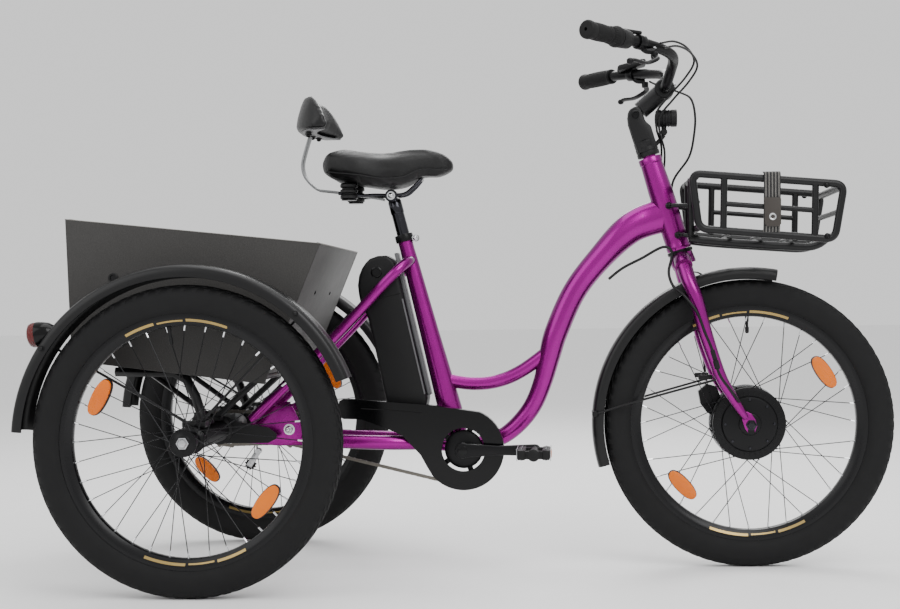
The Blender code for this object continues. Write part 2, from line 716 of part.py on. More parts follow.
def build_drive():
    """Crankset, gear hub, rear axle with its cog, both chains, the chain tensioner and the chain guard."""
    ring_y = -0.050
    inner_y = -0.030
    ring_radius = pitch_radius(RING_TEETH) - 0.0052
    hub_radius = pitch_radius(HUB_SPROCKET_TEETH) - 0.0048
    cog_radius = pitch_radius(AXLE_COG_TEETH) - 0.0048
    node("drive_chain", chain_loop(CRANK_CENTRE, RING_TEETH, GEAR_HUB_CENTRE, HUB_SPROCKET_TEETH, ring_y), STEEL)
    node("axle_chain", chain_loop(GEAR_HUB_CENTRE, HUB_SPROCKET_TEETH, REAR_AXLE, AXLE_COG_TEETH, inner_y), STEEL)
    gear_hub = turned(solid_profile(
        (0.006, -0.078), (0.006, -0.056), (0.014, -0.0555), (0.014, ring_y - 0.0015), (hub_radius, ring_y - 0.0014),
        (hub_radius, ring_y + 0.0014), (0.022, ring_y + 0.0015), (0.022, inner_y - 0.0015),
        (hub_radius, inner_y - 0.0014), (hub_radius, inner_y + 0.0014), (0.020, inner_y + 0.0015), (0.032, -0.020),
        (0.032, 0.040), (0.015, 0.045), (0.015, 0.0555), (0.006, 0.056), (0.006, 0.078),
    ), GEAR_HUB_CENTRE, Y_AXIS, 14)
    node("gear_hub", gear_hub, STEEL, GEAR_HUB_CENTRE)
    shaft_end = HALF_TRACK - HUB_INNER_FACE - GAP
    axle_cog = turned(solid_profile(
        (SHAFT_RADIUS, -shaft_end), (SHAFT_RADIUS, -0.0755), (0.017, -0.075), (0.017, inner_y - 0.0015),
        (cog_radius, inner_y - 0.0014), (cog_radius, inner_y + 0.0014), (0.020, inner_y + 0.0015), (0.027, -0.020),
        (0.027, 0.060), (0.016, 0.075), (SHAFT_RADIUS, 0.0755), (SHAFT_RADIUS, shaft_end),
    ), REAR_AXLE, Y_AXIS, 14)
    node("axle_cog", axle_cog, STEEL, REAR_AXLE)
    build_tensioner(inner_y)
    build_crankset(ring_y, ring_radius)
    build_guard()


TENSIONER_PIVOT = Vector((0.070, -0.030, 0.2555))


def build_tensioner(y):
    """Sprung arm with a small wheel under the axle chain."""
    pivot = TENSIONER_PIVOT
    wheel = pivot + Vector((-0.018, 0.0, -0.028))
    arm = plate(strip_outline([(pivot.x, pivot.z), (wheel.x, wheel.z)], 0.014), y - 0.0085, y - 0.0060)
    boss = rod((pivot.x, y - 0.0100, pivot.z), (pivot.x, y + 0.0055, pivot.z), 0.0065)
    jockey = rod((wheel.x, y - 0.0095, wheel.z), (wheel.x, y + 0.0035, wheel.z), 0.0130, sides=16)
    node("chain_tensioner", fuse(arm, boss, jockey), STEEL, pivot)


def crank_arm(sign):
    """One crank arm, forward on the right and back on the left."""
    reach = CRANK_LENGTH * (1 if sign < 0 else -1)
    y_in = sign * 0.080
    y_out = sign * 0.092
    low, high = sorted((y_in, y_out))
    tip = CRANK_CENTRE.x + reach
    ahead = 0 if reach > 0 else 180
    outline = arc((CRANK_CENTRE.x, CRANK_CENTRE.z), 0.0165, ahead + 75, ahead + 285, 9)
    outline += arc((tip, CRANK_CENTRE.z), 0.0125, ahead - 80, ahead + 80, 7)
    return plate(outline, low, high)


def build_crankset(ring_y, ring_radius):
    """Spindle, chainring, arms and both pedals."""
    spindle = turned(solid_profile(
        (0.0085, -0.095), (0.0085, -0.052), (0.020, ring_y - 0.0017), (ring_radius, ring_y - 0.0015),
        (ring_radius, ring_y + 0.0015), (0.0085, ring_y + 0.0017), (0.0085, 0.095),
    ), CRANK_CENTRE, Y_AXIS, 20)
    cranks = fuse(spindle, crank_arm(-1), crank_arm(1))
    for sign in (-1, 1):
        tip = CRANK_CENTRE + X_AXIS * CRANK_LENGTH * -sign
        eye = rod(tip + Y_AXIS * sign * 0.07, tip + Y_AXIS * sign * 0.11, 0.0050, sides=12)
        cranks = cut(cranks, eye)
    node("crankset", cranks, BLACK_PAINT, CRANK_CENTRE)
    for side, sign in SIDES.items():
        tip = CRANK_CENTRE + X_AXIS * CRANK_LENGTH * -sign
        node(f"pedal_{side}", pedal(tip, sign), BLACK_PLASTIC, tip)


def pedal(centre, sign):
    """A platform pedal: two long blocks and end bars on its spindle."""
    spindle = turned(solid_profile(
        (0.0047, 0.080), (0.0047, 0.0935), (0.0095, 0.094), (0.0095, 0.188), (0.013, 0.189), (0.013, 0.200),
    ), Vector((centre.x, 0, centre.z)), Y_AXIS * sign, 12)
    low_y, high_y = sorted((sign * 0.101, sign * 0.195))
    pieces = [spindle]
    for way in (-1, 1):
        x = centre.x + way * 0.0255
        pieces.append(block((x - 0.010, low_y, centre.z - 0.0125), (x + 0.010, high_y, centre.z + 0.0125)))
    for y in (sign * 0.107, sign * 0.186):
        pieces.append(block(
            (centre.x - 0.030, y - 0.005, centre.z - 0.010), (centre.x + 0.030, y + 0.005, centre.z + 0.010),
        ))
    return fuse(pieces[0], *pieces[1:])


GUARD_COVER_RADIUS = 0.0865


def guard_outline():
    """Outline of the chain guard: a band over the upper run and a round cover over the chainring."""
    round_cover = arc((CRANK_CENTRE.x, CRANK_CENTRE.z), GUARD_COVER_RADIUS, -140, 68, 16)
    band_top = [(0.448, 0.3540), (0.356, 0.3615), (0.262, 0.3690)]
    nose = [(0.2515, 0.362), (0.2515, 0.331), (0.260, 0.3265)]
    band_low = [(0.300, 0.3250), (0.355, 0.3045), (0.387, 0.2900)]
    belly = [(0.404, 0.2720), (0.426, 0.2480), (0.4400, 0.222)]
    return round_cover + band_top + nose + band_low + belly


def build_guard():
    """Chain guard: a thin cover with a rim turned inwards along its top."""
    outer_y = -0.0655
    face_y = -0.0630
    rim_y = -0.0406
    shell = plate(guard_outline(), outer_y, rim_y)
    wall = 0.0022
    pocket_outline = arc((CRANK_CENTRE.x, CRANK_CENTRE.z), GUARD_COVER_RADIUS - wall, -15, 68, 8)
    pocket_outline += [(0.448, 0.3540 - wall), (0.356, 0.3615 - wall), (0.2515 + wall, 0.3670 - wall)]
    pocket_outline += [(0.2515 + wall, 0.352), (0.240, 0.352), (0.240, 0.100), (CRANK_CENTRE.x + 0.0815, 0.100)]
    pocket = plate(pocket_outline, face_y, rim_y + 0.01)
    hole = rod(CRANK_CENTRE - Y_AXIS * 0.1, CRANK_CENTRE, 0.0485, sides=24)
    node("chain_guard", cut(shell, pocket, hole), BLACK_GLOSS)


# ---------------------------------------------------------------- battery
def build_battery():
    """Rail on the back of the seat tube and the battery that slides up off it."""
    lean = math.radians(12.55)
    up = Vector((-math.sin(lean), math.cos(lean)))
    back = Vector((-up.y, up.x))
    foot = Vector((0.4565, 0.340))
    face = foot + back * 0.0035

    def corner(along, away):
        point = face + up * along + back * away
        return (point.x, point.y)

    rail = plate([corner(0.035, 0.0), corner(0.350, 0.0), corner(0.350, 0.0075), corner(0.035, 0.0075)], -0.019, 0.019)
    node("battery_rail", cut(rail, seat_outside(GAP)), BLACK_PLASTIC)
    start = 0.0075 + GAP
    case = plate([
        corner(0.030, start), corner(0.325, start), corner(0.347, start + 0.012), corner(0.352, start + 0.034),
        corner(0.350, start + 0.052), corner(0.338, start + 0.070), corner(0.322, start + 0.082),
        corner(0.300, start + 0.0905), corner(0.262, start + 0.0930), corner(0.225, start + 0.0850),
        corner(0.130, start + 0.0860), corner(0.030, start + 0.0880), corner(0.012, start + 0.0800),
        corner(0.003, start + 0.050), corner(0.006, start + 0.012),
    ], -0.040, 0.040)
    node("battery", case, BLACK_PLASTIC, (face.x, 0.0, face.y))


# ---------------------------------------------------------------- basket
BASKET_HALF = 0.1376
BASKET_SIDE = [(0.9995, 0.8290), (1.3065, 0.8010), (1.2865, 0.6895), (1.0125, 0.7155)]


def build_basket():
    """Welded tube basket on lugs at the head tube, with its elastic strap."""
    pieces = []
    for sign in (-1, 1):
        y = sign * BASKET_HALF
        side_loop = [(x, y, z) for x, z in rounded_loop(BASKET_SIDE, 0.022, 3)]
        pieces.append(tube(side_loop, 0.0078, closed=True, smooth=False, resolution=1))
        for x, rise in ((1.062, 0.7115), (1.246, 0.695)):
            pieces.append(rod((x, y, rise), (x + 0.003, y, rise + 0.112), 0.0070, sides=5))
        pieces.append(rod((1.062, y, 0.766), (1.247, y, 0.749), 0.0055, sides=5))
    for x, z, r in ((1.0065, 0.8225, 0.0078), (1.2995, 0.7955, 0.0078), (1.0160, 0.7210, 0.0078),
                    (1.2830, 0.6955, 0.0078), (1.2960, 0.7460, 0.0055)):
        pieces.append(rod((x, -BASKET_HALF, z), (x, BASKET_HALF, z), r, sides=5))
    for x in (1.086, 1.150, 1.214):
        z = 0.7148 - (x - 1.022) * 0.0957
        pieces.append(rod((x, -BASKET_HALF, z), (x, BASKET_HALF, z), 0.0045, sides=4))
    for y in (-0.046, 0.046):
        pieces.append(tube([
            (1.000, y, 0.7000), (1.060, y, 0.6920), (1.200, y, 0.6805), (1.245, y, 0.6780), (1.268, y, 0.6830),
            (1.284, y, 0.6940),
        ], 0.0085, smooth=False, resolution=1))
        pieces.append(rod((1.0040, y, 0.7020), (1.0040, y, 0.8260), 0.0065, sides=4))
    for z, x in ((0.771, 0.952), (0.7085, 0.9705)):
        for sign in (-1, 1):
            pieces.append(tube([
                (x, sign * 0.0305, z), (x + 0.020, sign * 0.0310, z), (0.9900, sign * 0.040, z - 0.001),
                (1.0080, sign * 0.046, z - 0.003),
            ], 0.0040, smooth=False, resolution=1))
    basket = fuse(pieces[0], *pieces[1:])
    node("basket", cut(basket, head_outside(GAP)), BLACK_PAINT)
    strap = strip_outline([(1.160, 0.8265), (1.1605, 0.8000), (1.1585, 0.715)], 0.026)
    outer_y = -BASKET_HALF - 0.0084
    node("basket_strap", plate(strap, outer_y - 0.0030, outer_y), WEBBING)


# ---------------------------------------------------------------- steering
def leg_solid(grow=0.0):
    """Right fork leg, thinning towards the axle."""
    route = [
        (0.9880, -0.030, 0.6440, 0.0165), (0.9985, -0.0500, 0.6080, 0.0162), (1.0125, -0.0580, 0.570, 0.0150),
        (1.0330, -0.0610, 0.490, 0.0145), (1.0600, -0.0625, 0.410, 0.0125), (1.0830, -0.0625, 0.368, 0.0110),
        (1.1050, -0.0625, 0.332, 0.0095), (1.1160, -0.0625, 0.316, 0.0080),
    ]
    return tube([(x, y, z, r + grow) for x, y, z, r in route], 0.015, parts=2, resolution=3)


def build_fork():
    """Steerer with the crown, two legs with slotted ends, front fender and brake caliper."""
    crown_base = head_point(0.6675)
    crown = fuse(
        rod(head_point(0.646), head_point(0.6755), 0.0265, 0.0240, sides=16),
        rod(head_point(0.650), head_point(0.884), STEERER_RADIUS, sides=16),
        tube([
            (0.9885, -0.040, 0.6440), (crown_base.x + 0.001, -0.012, 0.6585), (crown_base.x + 0.001, 0.012, 0.6585),
            (0.9885, 0.040, 0.6440),
        ], 0.0185, resolution=3),
    )
    node("fork_crown", cut(crown, leg_solid(GAP), mirrored(leg_solid(GAP))), MAGENTA, HEAD_BOTTOM)
    end = plate([
        (1.110, 0.336), (1.104, 0.318), (1.110, 0.298), (1.120, 0.288), (1.130, 0.290), (1.136, 0.304),
        (1.132, 0.318), (1.124, 0.330),
    ], -0.0610, -0.0550)
    slot = fuse(
        rod(FRONT_AXLE - Y_AXIS * 0.07, FRONT_AXLE - Y_AXIS * 0.05, 0.0064, sides=12),
        block((1.1172, -0.0700, 0.270), (1.1298, -0.050, WHEEL_RADIUS)),
    )
    nut_room = rod(FRONT_AXLE - Y_AXIS * 0.080, FRONT_AXLE - Y_AXIS * 0.0612, 0.0130, sides=16)
    leg = cut(fuse(leg_solid(), end), slot, nut_room)
    node("fork_leg_left", mirrored(leg), MAGENTA, HEAD_BOTTOM)
    node("fork_leg_right", leg, MAGENTA, HEAD_BOTTOM)
    shell = fender(FRONT_AXLE, FRONT_FENDER_RADIUS, 79, 196, 11)
    stays = []
    for sign in (-1, 1):
        stays.append(tube([
            (0.8010, sign * 0.0325, 0.345), (0.860, sign * 0.0380, 0.350), (1.0350, sign * 0.0425, 0.398),
        ], 0.0026, smooth=False))
    hanger = plate(strip_outline([(0.9960, 0.6310), (1.020, 0.6290), (1.030, 0.6240)], 0.006), -0.012, 0.012)
    front_fender = fuse(shell, stays[0], stays[1], hanger)
    keep_off = [leg_solid(GAP), mirrored(leg_solid(GAP)), rod(head_point(0.62), head_point(0.70), 0.029, sides=16)]
    node("front_fender", cut(front_fender, *keep_off), BLACK_PLASTIC, HEAD_BOTTOM)
    build_caliper()


def build_caliper():
    """Disc brake caliper on the left leg, with a slot for the disc."""
    body = plate([
        (1.022, 0.372), (1.040, 0.388), (1.062, 0.380), (1.074, 0.345), (1.076, 0.322), (1.062, 0.314),
        (1.040, 0.326), (1.026, 0.346),
    ], 0.0320, 0.0560)
    slot = rod(FRONT_AXLE + Y_AXIS * 0.0390, FRONT_AXLE + Y_AXIS * 0.0440, 0.0818, sides=36)
    hub_room = rod(FRONT_AXLE + Y_AXIS * 0.02, FRONT_AXLE + Y_AXIS * 0.0375, 0.0785, sides=24)
    node("brake_caliper", cut(body, slot, hub_room, mirrored(leg_solid(GAP))), BLACK_PAINT, HEAD_BOTTOM)


def build_stem():
    """Stem base on the steerer, its adjustable arm, and the head lamp on a bracket."""
    foot = head_point(0.8795)
    base = plate([
        (0.8965, 0.8720), (0.8760, 0.9480), (0.8745, 0.9640), (0.8800, 0.9790), (0.8910, 0.9845), (0.9030, 0.9790),
        (0.9080, 0.9660), (0.9120, 0.9530), (0.9240, 0.9420), (0.9330, 0.9180), (0.9420, 0.8860),
    ], -0.0200, 0.0200)
    collar = rod(foot, head_point(0.9120), 0.0240, 0.0235, sides=16)
    steerer_room = rod(head_point(0.860), head_point(0.8855), STEERER_RADIUS + GAP, sides=16)
    head_room = rod(head_point(0.850), foot, 0.040, sides=16)
    fork_slot = block((0.868, -0.0105, 0.9450), (0.935, 0.0105, 1.0))
    bracket = tube([(0.936, 0, 0.905), (0.945, 0, 0.914), (0.952, 0, 0.921)], 0.0045, smooth=False)
    base = cut(fuse(base, collar, bracket), steerer_room, head_room, fork_slot)
    node("stem_base", base, BLACK_PAINT, HEAD_BOTTOM)
    barrel = turned(solid_profile(
        (0.016, -0.003), (0.0185, 0.004), (0.0185, 0.040), (0.0170, 0.042), (0.0165, 0.037),
    ), Vector((0.9375, 0, 0.9595)), X_AXIS, 16)
    knuckle = rod((0.952, 0, 0.945), (0.952, 0, 0.9265), 0.0050)
    node("head_lamp", fuse(barrel, knuckle), BLACK_PLASTIC, LAMP_PIVOT)
    clamp = Vector((0.9535, 0, 1.0210))
    neck = rod(STEM_PIVOT + (clamp - STEM_PIVOT) * 0.12, STEM_PIVOT + (clamp - STEM_PIVOT) * 0.90, 0.0200, sides=16)
    tongue = rod(STEM_PIVOT - Y_AXIS * 0.0100, STEM_PIVOT + Y_AXIS * 0.0100, 0.0160, sides=16)
    eye = rod(clamp - Y_AXIS * 0.0230, clamp + Y_AXIS * 0.0230, 0.0215, sides=16)
    arm = fuse(neck, eye)
    for sign in (-1, 1):
        low, high = sorted((sign * 0.0101, sign * 0.05))
        arm = cut(arm, rod(STEM_PIVOT + Y_AXIS * low, STEM_PIVOT + Y_AXIS * high, 0.0300, sides=16))
    arm = fuse(arm, tongue)
    bar_room = rod(clamp - Y_AXIS * 0.05, clamp + Y_AXIS * 0.05, 0.0127 + GAP, sides=16)
    node("stem_arm", cut(arm, bar_room), BLACK_PAINT, STEM_PIVOT)


BAR_ROUTE = [
    (0.9535, 0.0, 1.0210), (0.9535, -0.0270, 1.0210), (0.9565, -0.0480, 1.0280), (0.9640, -0.0760, 1.0520),
    (0.9670, -0.1000, 1.0660), (0.9600, -0.1300, 1.0740), (0.9350, -0.1650, 1.0810), (0.8940, -0.2050, 1.0870),
    (0.8500, -0.2480, 1.0900),
]
GRIP_INNER = Vector((0.8500, -0.2480, 1.0900))
BAR_END = Vector((0.7870, -0.3350, 1.0915))


def build_handlebar():
    """Swept handlebar, grips, twist shifter and brake levers."""
    half = [(*p,) for p in BAR_ROUTE] + [tuple(GRIP_INNER + (BAR_END - GRIP_INNER) * 0.96)]
    full = [(x, -y, z) for x, y, z in reversed(half)] + half[1:]
    perch = lever_perch()
    bar = fuse(tube(full, 0.0111, parts=1, resolution=1), perch, mirrored(perch))
    node("handlebar", bar, BLACK_PAINT, STEM_PIVOT)
    along = (BAR_END - GRIP_INNER).normalized()
    length = (BAR_END - GRIP_INNER).length
    bore = 0.0111 + 0.0006
    long_grip = [
        (bore, 0.0), (0.0170, 0.0), (0.0150, 0.012), (0.0160, 0.045), (0.0165, 0.080), (0.0185, length - 0.004),
        (0.0150, length + 0.004), (0.004, length + 0.004), (0.004, length - 0.002), (bore, length - 0.002),
    ]
    short = 0.036
    short_grip = [(bore, short), (0.0165, short), (0.0150, short + 0.008)] + long_grip[3:]
    grip_right = turned(short_grip, GRIP_INNER, along, 12, closed=True)
    node("grip_right", grip_right, GRIP_RUBBER, STEM_PIVOT)
    grip_left = mirrored(turned(long_grip, GRIP_INNER, along, 12, closed=True))
    node("grip_left", grip_left, GRIP_RUBBER, STEM_PIVOT)
    shifter = turned([
        (bore, 0.005), (0.0200, 0.005), (0.0215, 0.010), (0.0205, 0.020), (0.0170, short - GAP), (bore, short - GAP),
    ], GRIP_INNER, along, 12, closed=True)
    node("twist_shifter", shifter, GRIP_RUBBER, GRIP_INNER)
    for side, sign in SIDES.items():
        lever = brake_lever()
        if sign > 0:
            lever = mirrored(lever)
        pivot = Vector((LEVER_PIVOT.x, -sign * LEVER_PIVOT.y, LEVER_PIVOT.z))
        node(f"brake_lever_{side}", lever, BLACK_PAINT, pivot)


LEVER_PIVOT = Vector((0.9230, -0.1960, 1.0620))


def brake_lever():
    """Right brake lever: a flat blade that lies under and ahead of the grip, on its pivot."""
    pivot = LEVER_PIVOT
    blade = tube([
        (pivot.x, pivot.y, pivot.z), (pivot.x + 0.004, pivot.y - 0.020, pivot.z - 0.010),
        (0.9080, -0.2350, 1.0400), (0.8800, -0.2750, 1.0380), (0.8520, -0.3080, 1.0400), (0.8420, -0.3200, 1.0360),
    ], 0.0050, parts=2)
    boss = rod(pivot - Z_AXIS * 0.0070, pivot + Z_AXIS * 0.0060, 0.0070)
    return fuse(blade, boss)


def lever_perch():
    """The right brake lever's clamp, which is tight on the bar."""
    centre = Vector((0.8940, -0.2050, 1.0870))
    along = (Vector(BAR_ROUTE[8]) - Vector(BAR_ROUTE[6])).normalized()
    ring = turned(
        [(0.0095, -0.008), (0.0150, -0.008), (0.0150, 0.008), (0.0095, 0.008)], centre, along, 16, closed=True,
    )
    drop = tube([
        tuple(centre + Vector((0.006, 0.004, -0.0120))), (0.9080, -0.1980, 1.0690), tuple(LEVER_PIVOT + Vector((0, 0, 0.0085))),
    ], 0.0050, smooth=False)
    room = rod(LEVER_PIVOT - Z_AXIS * 0.0075, LEVER_PIVOT + Z_AXIS * 0.0065, 0.0090)
    return cut(fuse(ring, drop), room)


# ---------------------------------------------------------------- saddle and backrest
def loft(rings):
    """Close a solid through rings of points."""
    shape = bmesh.new()
    rows = [[shape.verts.new(p) for p in ring] for ring in rings]
    count = len(rows[0])
    for near, far in zip(rows, rows[1:]):
        for index in range(count):
            after = (index + 1) % count
            shape.faces.new((near[index], near[after], far[after], far[index]))
    shape.faces.new(rows[0][::-1])
    shape.faces.new(rows[-1])
    bmesh.ops.triangulate(shape, faces=[f for f in shape.faces if len(f.verts) > 4])
    return mesh_from(shape)


SADDLE_STATIONS = [
    (0.2170, 0.050, 0.882, 0.852), (0.2350, 0.088, 0.8985, 0.8395), (0.2730, 0.108, 0.8975, 0.8335),
    (0.3080, 0.112, 0.8925, 0.8300), (0.3430, 0.098, 0.8900, 0.8240), (0.3710, 0.076, 0.8925, 0.8235),
    (0.3990, 0.056, 0.8975, 0.8285), (0.4300, 0.042, 0.8995, 0.8455), (0.4650, 0.034, 0.8985, 0.8465),
    (0.4850, 0.028, 0.8930, 0.8480), (0.5030, 0.014, 0.8760, 0.8560),
]


def build_saddle():
    """Padded saddle, and the seat post with its clamp, rails and springs."""
    rings = []
    for x, half, top, bottom in SADDLE_STATIONS:
        middle = (top + bottom) / 2
        tall = (top - bottom) / 2
        ring = []
        for index in range(14):
            angle = 2 * math.pi * index / 14
            across = math.cos(angle)
            high = math.sin(angle)
            ring.append((
                x, half * math.copysign(abs(across) ** 0.75, across), middle + tall * math.copysign(abs(high) ** 0.75, high),
            ))
        rings.append(ring)
    node("saddle", loft(rings), VINYL, SEAT_TOP)
    post_top = seat_point(POST_TOP_Z)
    pieces = [rod(post_top - SEAT_AXIS * POST_LENGTH, post_top, POST_RADIUS, sides=16)]
    pieces.append(rod((0.3660, -0.0300, 0.8030), (0.3660, 0.0300, 0.8030), 0.0135, sides=16))
    for sign in (-1, 1):
        pieces.append(tube([
            (0.2770, sign * 0.050, 0.8020), (0.3060, sign * 0.034, 0.8040), (0.3300, sign * 0.0225, 0.8055),
            (0.3880, sign * 0.0220, 0.8055), (0.4120, sign * 0.0200, 0.8200), (0.4300, sign * 0.012, 0.8390),
        ], 0.0038, parts=1, resolution=1))
        pieces.append(rod((0.2770, sign * 0.050, 0.7950), (0.2770, sign * 0.050, 0.8290), 0.0190, sides=8))
    pieces.append(rod((0.4290, -0.014, 0.8380), (0.4290, 0.014, 0.8380), 0.0045, sides=8))
    seat_post = fuse(pieces[0], *pieces[1:])
    node("seat_post", cut(seat_post, loft([[tuple(Vector(p) + Vector((0, 0, -GAP))) for p in r] for r in rings])),
         STEEL, SEAT_TOP)


def build_backrest():
    """Bent steel bar behind the saddle and the padded backrest that wraps round at its top."""
    route = [
        (0.1880, 0.9370), (0.1770, 0.9030), (0.1705, 0.8750), (0.1740, 0.8530), (0.1850, 0.8360), (0.2030, 0.8205),
        (0.2200, 0.8170), (0.2500, 0.8170), (0.3300, 0.8000), (0.3480, 0.7960),
    ]
    smooth = [tuple(p) for p in smooth_path(route, 2)]
    bar = plate(strip_outline(smooth, 0.0050), -0.0130, 0.0130)
    room = [
        rod((0.3660, -0.0350, 0.8030), (0.3660, 0.0350, 0.8030), 0.0139, sides=16),
        rod(seat_point(0.70), seat_point(0.81), POST_RADIUS + GAP, sides=16),
    ]
    node("backrest_bar", cut(bar, *room), STEEL, SEAT_TOP)
    rings = []
    count = 13
    for index in range(count):
        t = -1 + 2 * index / (count - 1)
        forward = 0.046 * abs(t) ** 2.2
        trim = math.sqrt(max(0.0, 1 - (abs(t) * 0.97) ** 6))
        y = 0.122 * t
        low = 0.9400
        high = 0.9400 + 0.0825 * (0.55 + 0.45 * trim)
        base = 0.0240 * (0.6 + 0.4 * trim)
        centre = 0.1880 + forward
        rings.append([
            (centre - base, y, low + 0.010), (centre - base * 0.6, y, low), (centre + base * 0.6, y, low),
            (centre + base, y, low + 0.010), (centre + base * 0.85, y, (low + high) / 2),
            (centre + base * 0.45, y, high - 0.008), (centre + 0.1 * base, y, high),
            (centre - base * 0.35, y, high - 0.003), (centre - base * 0.75, y, (low * 0.45 + high * 0.55)),
        ])
    node("backrest", loft(rings), VINYL, SEAT_TOP)


# ---------------------------------------------------------------- cables held by the tricycle
FRONT_CABLE = [
    (0.9330, 0.1800, 1.0660), (0.9520, 0.1400, 1.0500), (0.9900, 0.0700, 1.0250), (1.0120, 0.0300, 1.0050),
    (1.0205, 0.0250, 0.9700), (1.0190, 0.0300, 0.9300), (1.0080, 0.0400, 0.8800), (0.9910, 0.0520, 0.8300),
    (0.9800, 0.0600, 0.7800), (0.9850, 0.0640, 0.7200), (1.0000, 0.0780, 0.6400), (1.0180, 0.0860, 0.5700),
    (1.0340, 0.0860, 0.4800), (1.0400, 0.0780, 0.4200), (1.0420, 0.0700, 0.3920),
]
REAR_CABLE = [
    (0.9350, -0.2000, 1.0850), (0.9650, -0.1550, 1.0960), (0.9950, -0.1050, 1.0910), (1.0130, -0.0600, 1.0700),
    (1.0000, -0.0380, 1.0400), (0.9700, -0.0330, 1.0050), (0.9480, -0.0320, 0.9600), (0.9380, -0.0330, 0.9150),
    (0.9280, -0.0370, 0.8700), (0.9280, -0.0410, 0.8200), (0.9240, -0.0480, 0.7800),
]
MOTOR_CABLE = [
    (0.8300, -0.0220, 0.6170), (0.8600, -0.0260, 0.6400), (0.9000, -0.0330, 0.6600), (0.9450, -0.0360, 0.6830),
    (0.9640, -0.0385, 0.6700), (0.9560, -0.0450, 0.6300), (0.9640, -0.0600, 0.6000), (0.9850, -0.0720, 0.5800),
    (1.0110, -0.0785, 0.5450), (1.0280, -0.0800, 0.5000), (1.0420, -0.0810, 0.4650), (1.0560, -0.0810, 0.4150),
    (1.0800, -0.0790, 0.3800), (1.0980, -0.0770, 0.3550),
]


def build_cables():
    """Cables that clip along the tricycle for their whole way."""
    node("front_brake_cable", tube(FRONT_CABLE, 0.0025, parts=1, resolution=1), BLACK_PLASTIC, HEAD_BOTTOM)
    node("rear_brake_cable", tube(REAR_CABLE, 0.0025, parts=1, resolution=1), BLACK_PLASTIC)
    node("motor_cable", tube(MOTOR_CABLE, 0.0030, parts=1, resolution=1), BLACK_PLASTIC)


def main():
    """Build every piece of the tricycle."""
    build_front_frame()
    build_rear_frame()
    build_axle_carrier()
    build_rack()
    build_cargo_box()
    build_front_wheel()
    for side in SIDES:
        build_rear_wheel(side)
        build_rear_fender(side)
    build_drive()
    build_battery()
    build_basket()
    build_fork()
    build_stem()
    build_handlebar()
    build_saddle()
    build_backrest()
    build_cables()


main()
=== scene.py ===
"""Looks for an adult cargo tricycle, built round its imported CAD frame.

Places are written from the point on the floor under the rear axle, with +X forwards and +Y to the rider's
left; every finished mesh is then moved by Site.shift into the frame's own axes.
"""
from __future__ import annotations

import json
import logging
import math
from dataclasses import dataclass, field
from enum import Enum
from typing import Iterable, Sequence

import bmesh
import bpy
from mathutils import Matrix, Vector

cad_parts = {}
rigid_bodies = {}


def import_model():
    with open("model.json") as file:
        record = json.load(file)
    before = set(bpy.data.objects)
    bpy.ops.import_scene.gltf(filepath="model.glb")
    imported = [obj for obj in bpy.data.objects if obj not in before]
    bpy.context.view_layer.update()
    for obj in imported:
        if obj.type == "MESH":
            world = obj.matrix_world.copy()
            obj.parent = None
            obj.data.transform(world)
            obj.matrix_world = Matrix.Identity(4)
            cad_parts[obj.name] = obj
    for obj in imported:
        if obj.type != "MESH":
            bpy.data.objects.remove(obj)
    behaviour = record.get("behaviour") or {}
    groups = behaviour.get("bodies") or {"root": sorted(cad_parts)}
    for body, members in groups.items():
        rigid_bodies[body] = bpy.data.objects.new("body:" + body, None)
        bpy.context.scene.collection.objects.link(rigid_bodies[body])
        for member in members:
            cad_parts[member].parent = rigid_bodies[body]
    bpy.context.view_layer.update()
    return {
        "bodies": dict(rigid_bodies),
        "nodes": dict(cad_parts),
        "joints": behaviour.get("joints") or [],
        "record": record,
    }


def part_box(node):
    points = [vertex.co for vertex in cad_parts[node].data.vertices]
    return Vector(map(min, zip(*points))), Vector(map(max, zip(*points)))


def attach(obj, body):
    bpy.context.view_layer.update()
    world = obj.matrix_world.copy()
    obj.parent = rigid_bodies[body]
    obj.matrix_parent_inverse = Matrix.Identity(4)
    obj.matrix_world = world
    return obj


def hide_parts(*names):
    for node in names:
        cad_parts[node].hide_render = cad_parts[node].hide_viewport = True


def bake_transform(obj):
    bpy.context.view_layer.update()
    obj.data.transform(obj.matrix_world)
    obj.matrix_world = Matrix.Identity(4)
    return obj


LOG = logging.getLogger("tricycle")
Point = Sequence[float]
Y_AXIS = Vector((0.0, 1.0, 0.0))
X_AXIS = Vector((1.0, 0.0, 0.0))
Z_AXIS = Vector((0.0, 0.0, 1.0))


class Side(Enum):
    """A side of the tricycle, with the sign of its Y."""

    RIGHT = -1
    LEFT = 1

    @property
    def word(self) -> str:
        """The side's name in node and body names."""
        return self.name.lower()


# ------------------------------------------------------------------ meshes
def from_bmesh(shape: bmesh.types.BMesh, sharp_deg: float = 35.0, recalc: bool = True) -> bpy.types.Mesh:
    """Turn a bmesh into a smooth-shaded mesh whose faces point outwards.

    Args:
        shape: the bmesh, which is freed.
        sharp_deg: edges that bend more than this stay sharp.
        recalc: whether the faces are turned outwards.

    Returns:
        The mesh.
    """
    bmesh.ops.remove_doubles(shape, verts=shape.verts, dist=1e-6)
    if recalc:
        bmesh.ops.recalc_face_normals(shape, faces=shape.faces)
    mesh = bpy.data.meshes.new("piece")
    shape.to_mesh(mesh)
    shape.free()
    mesh.shade_smooth()
    mesh.set_sharp_from_angle(angle=math.radians(sharp_deg))
    return mesh


def merged(*meshes: bpy.types.Mesh) -> bpy.types.Mesh:
    """Put several meshes in one, and forget them."""
    shape = bmesh.new()
    for mesh in meshes:
        shape.from_mesh(mesh)
        bpy.data.meshes.remove(mesh)
    made = bpy.data.meshes.new("piece")
    shape.to_mesh(made)
    shape.free()
    made.shade_smooth()
    made.set_sharp_from_angle(angle=math.radians(35))
    return made


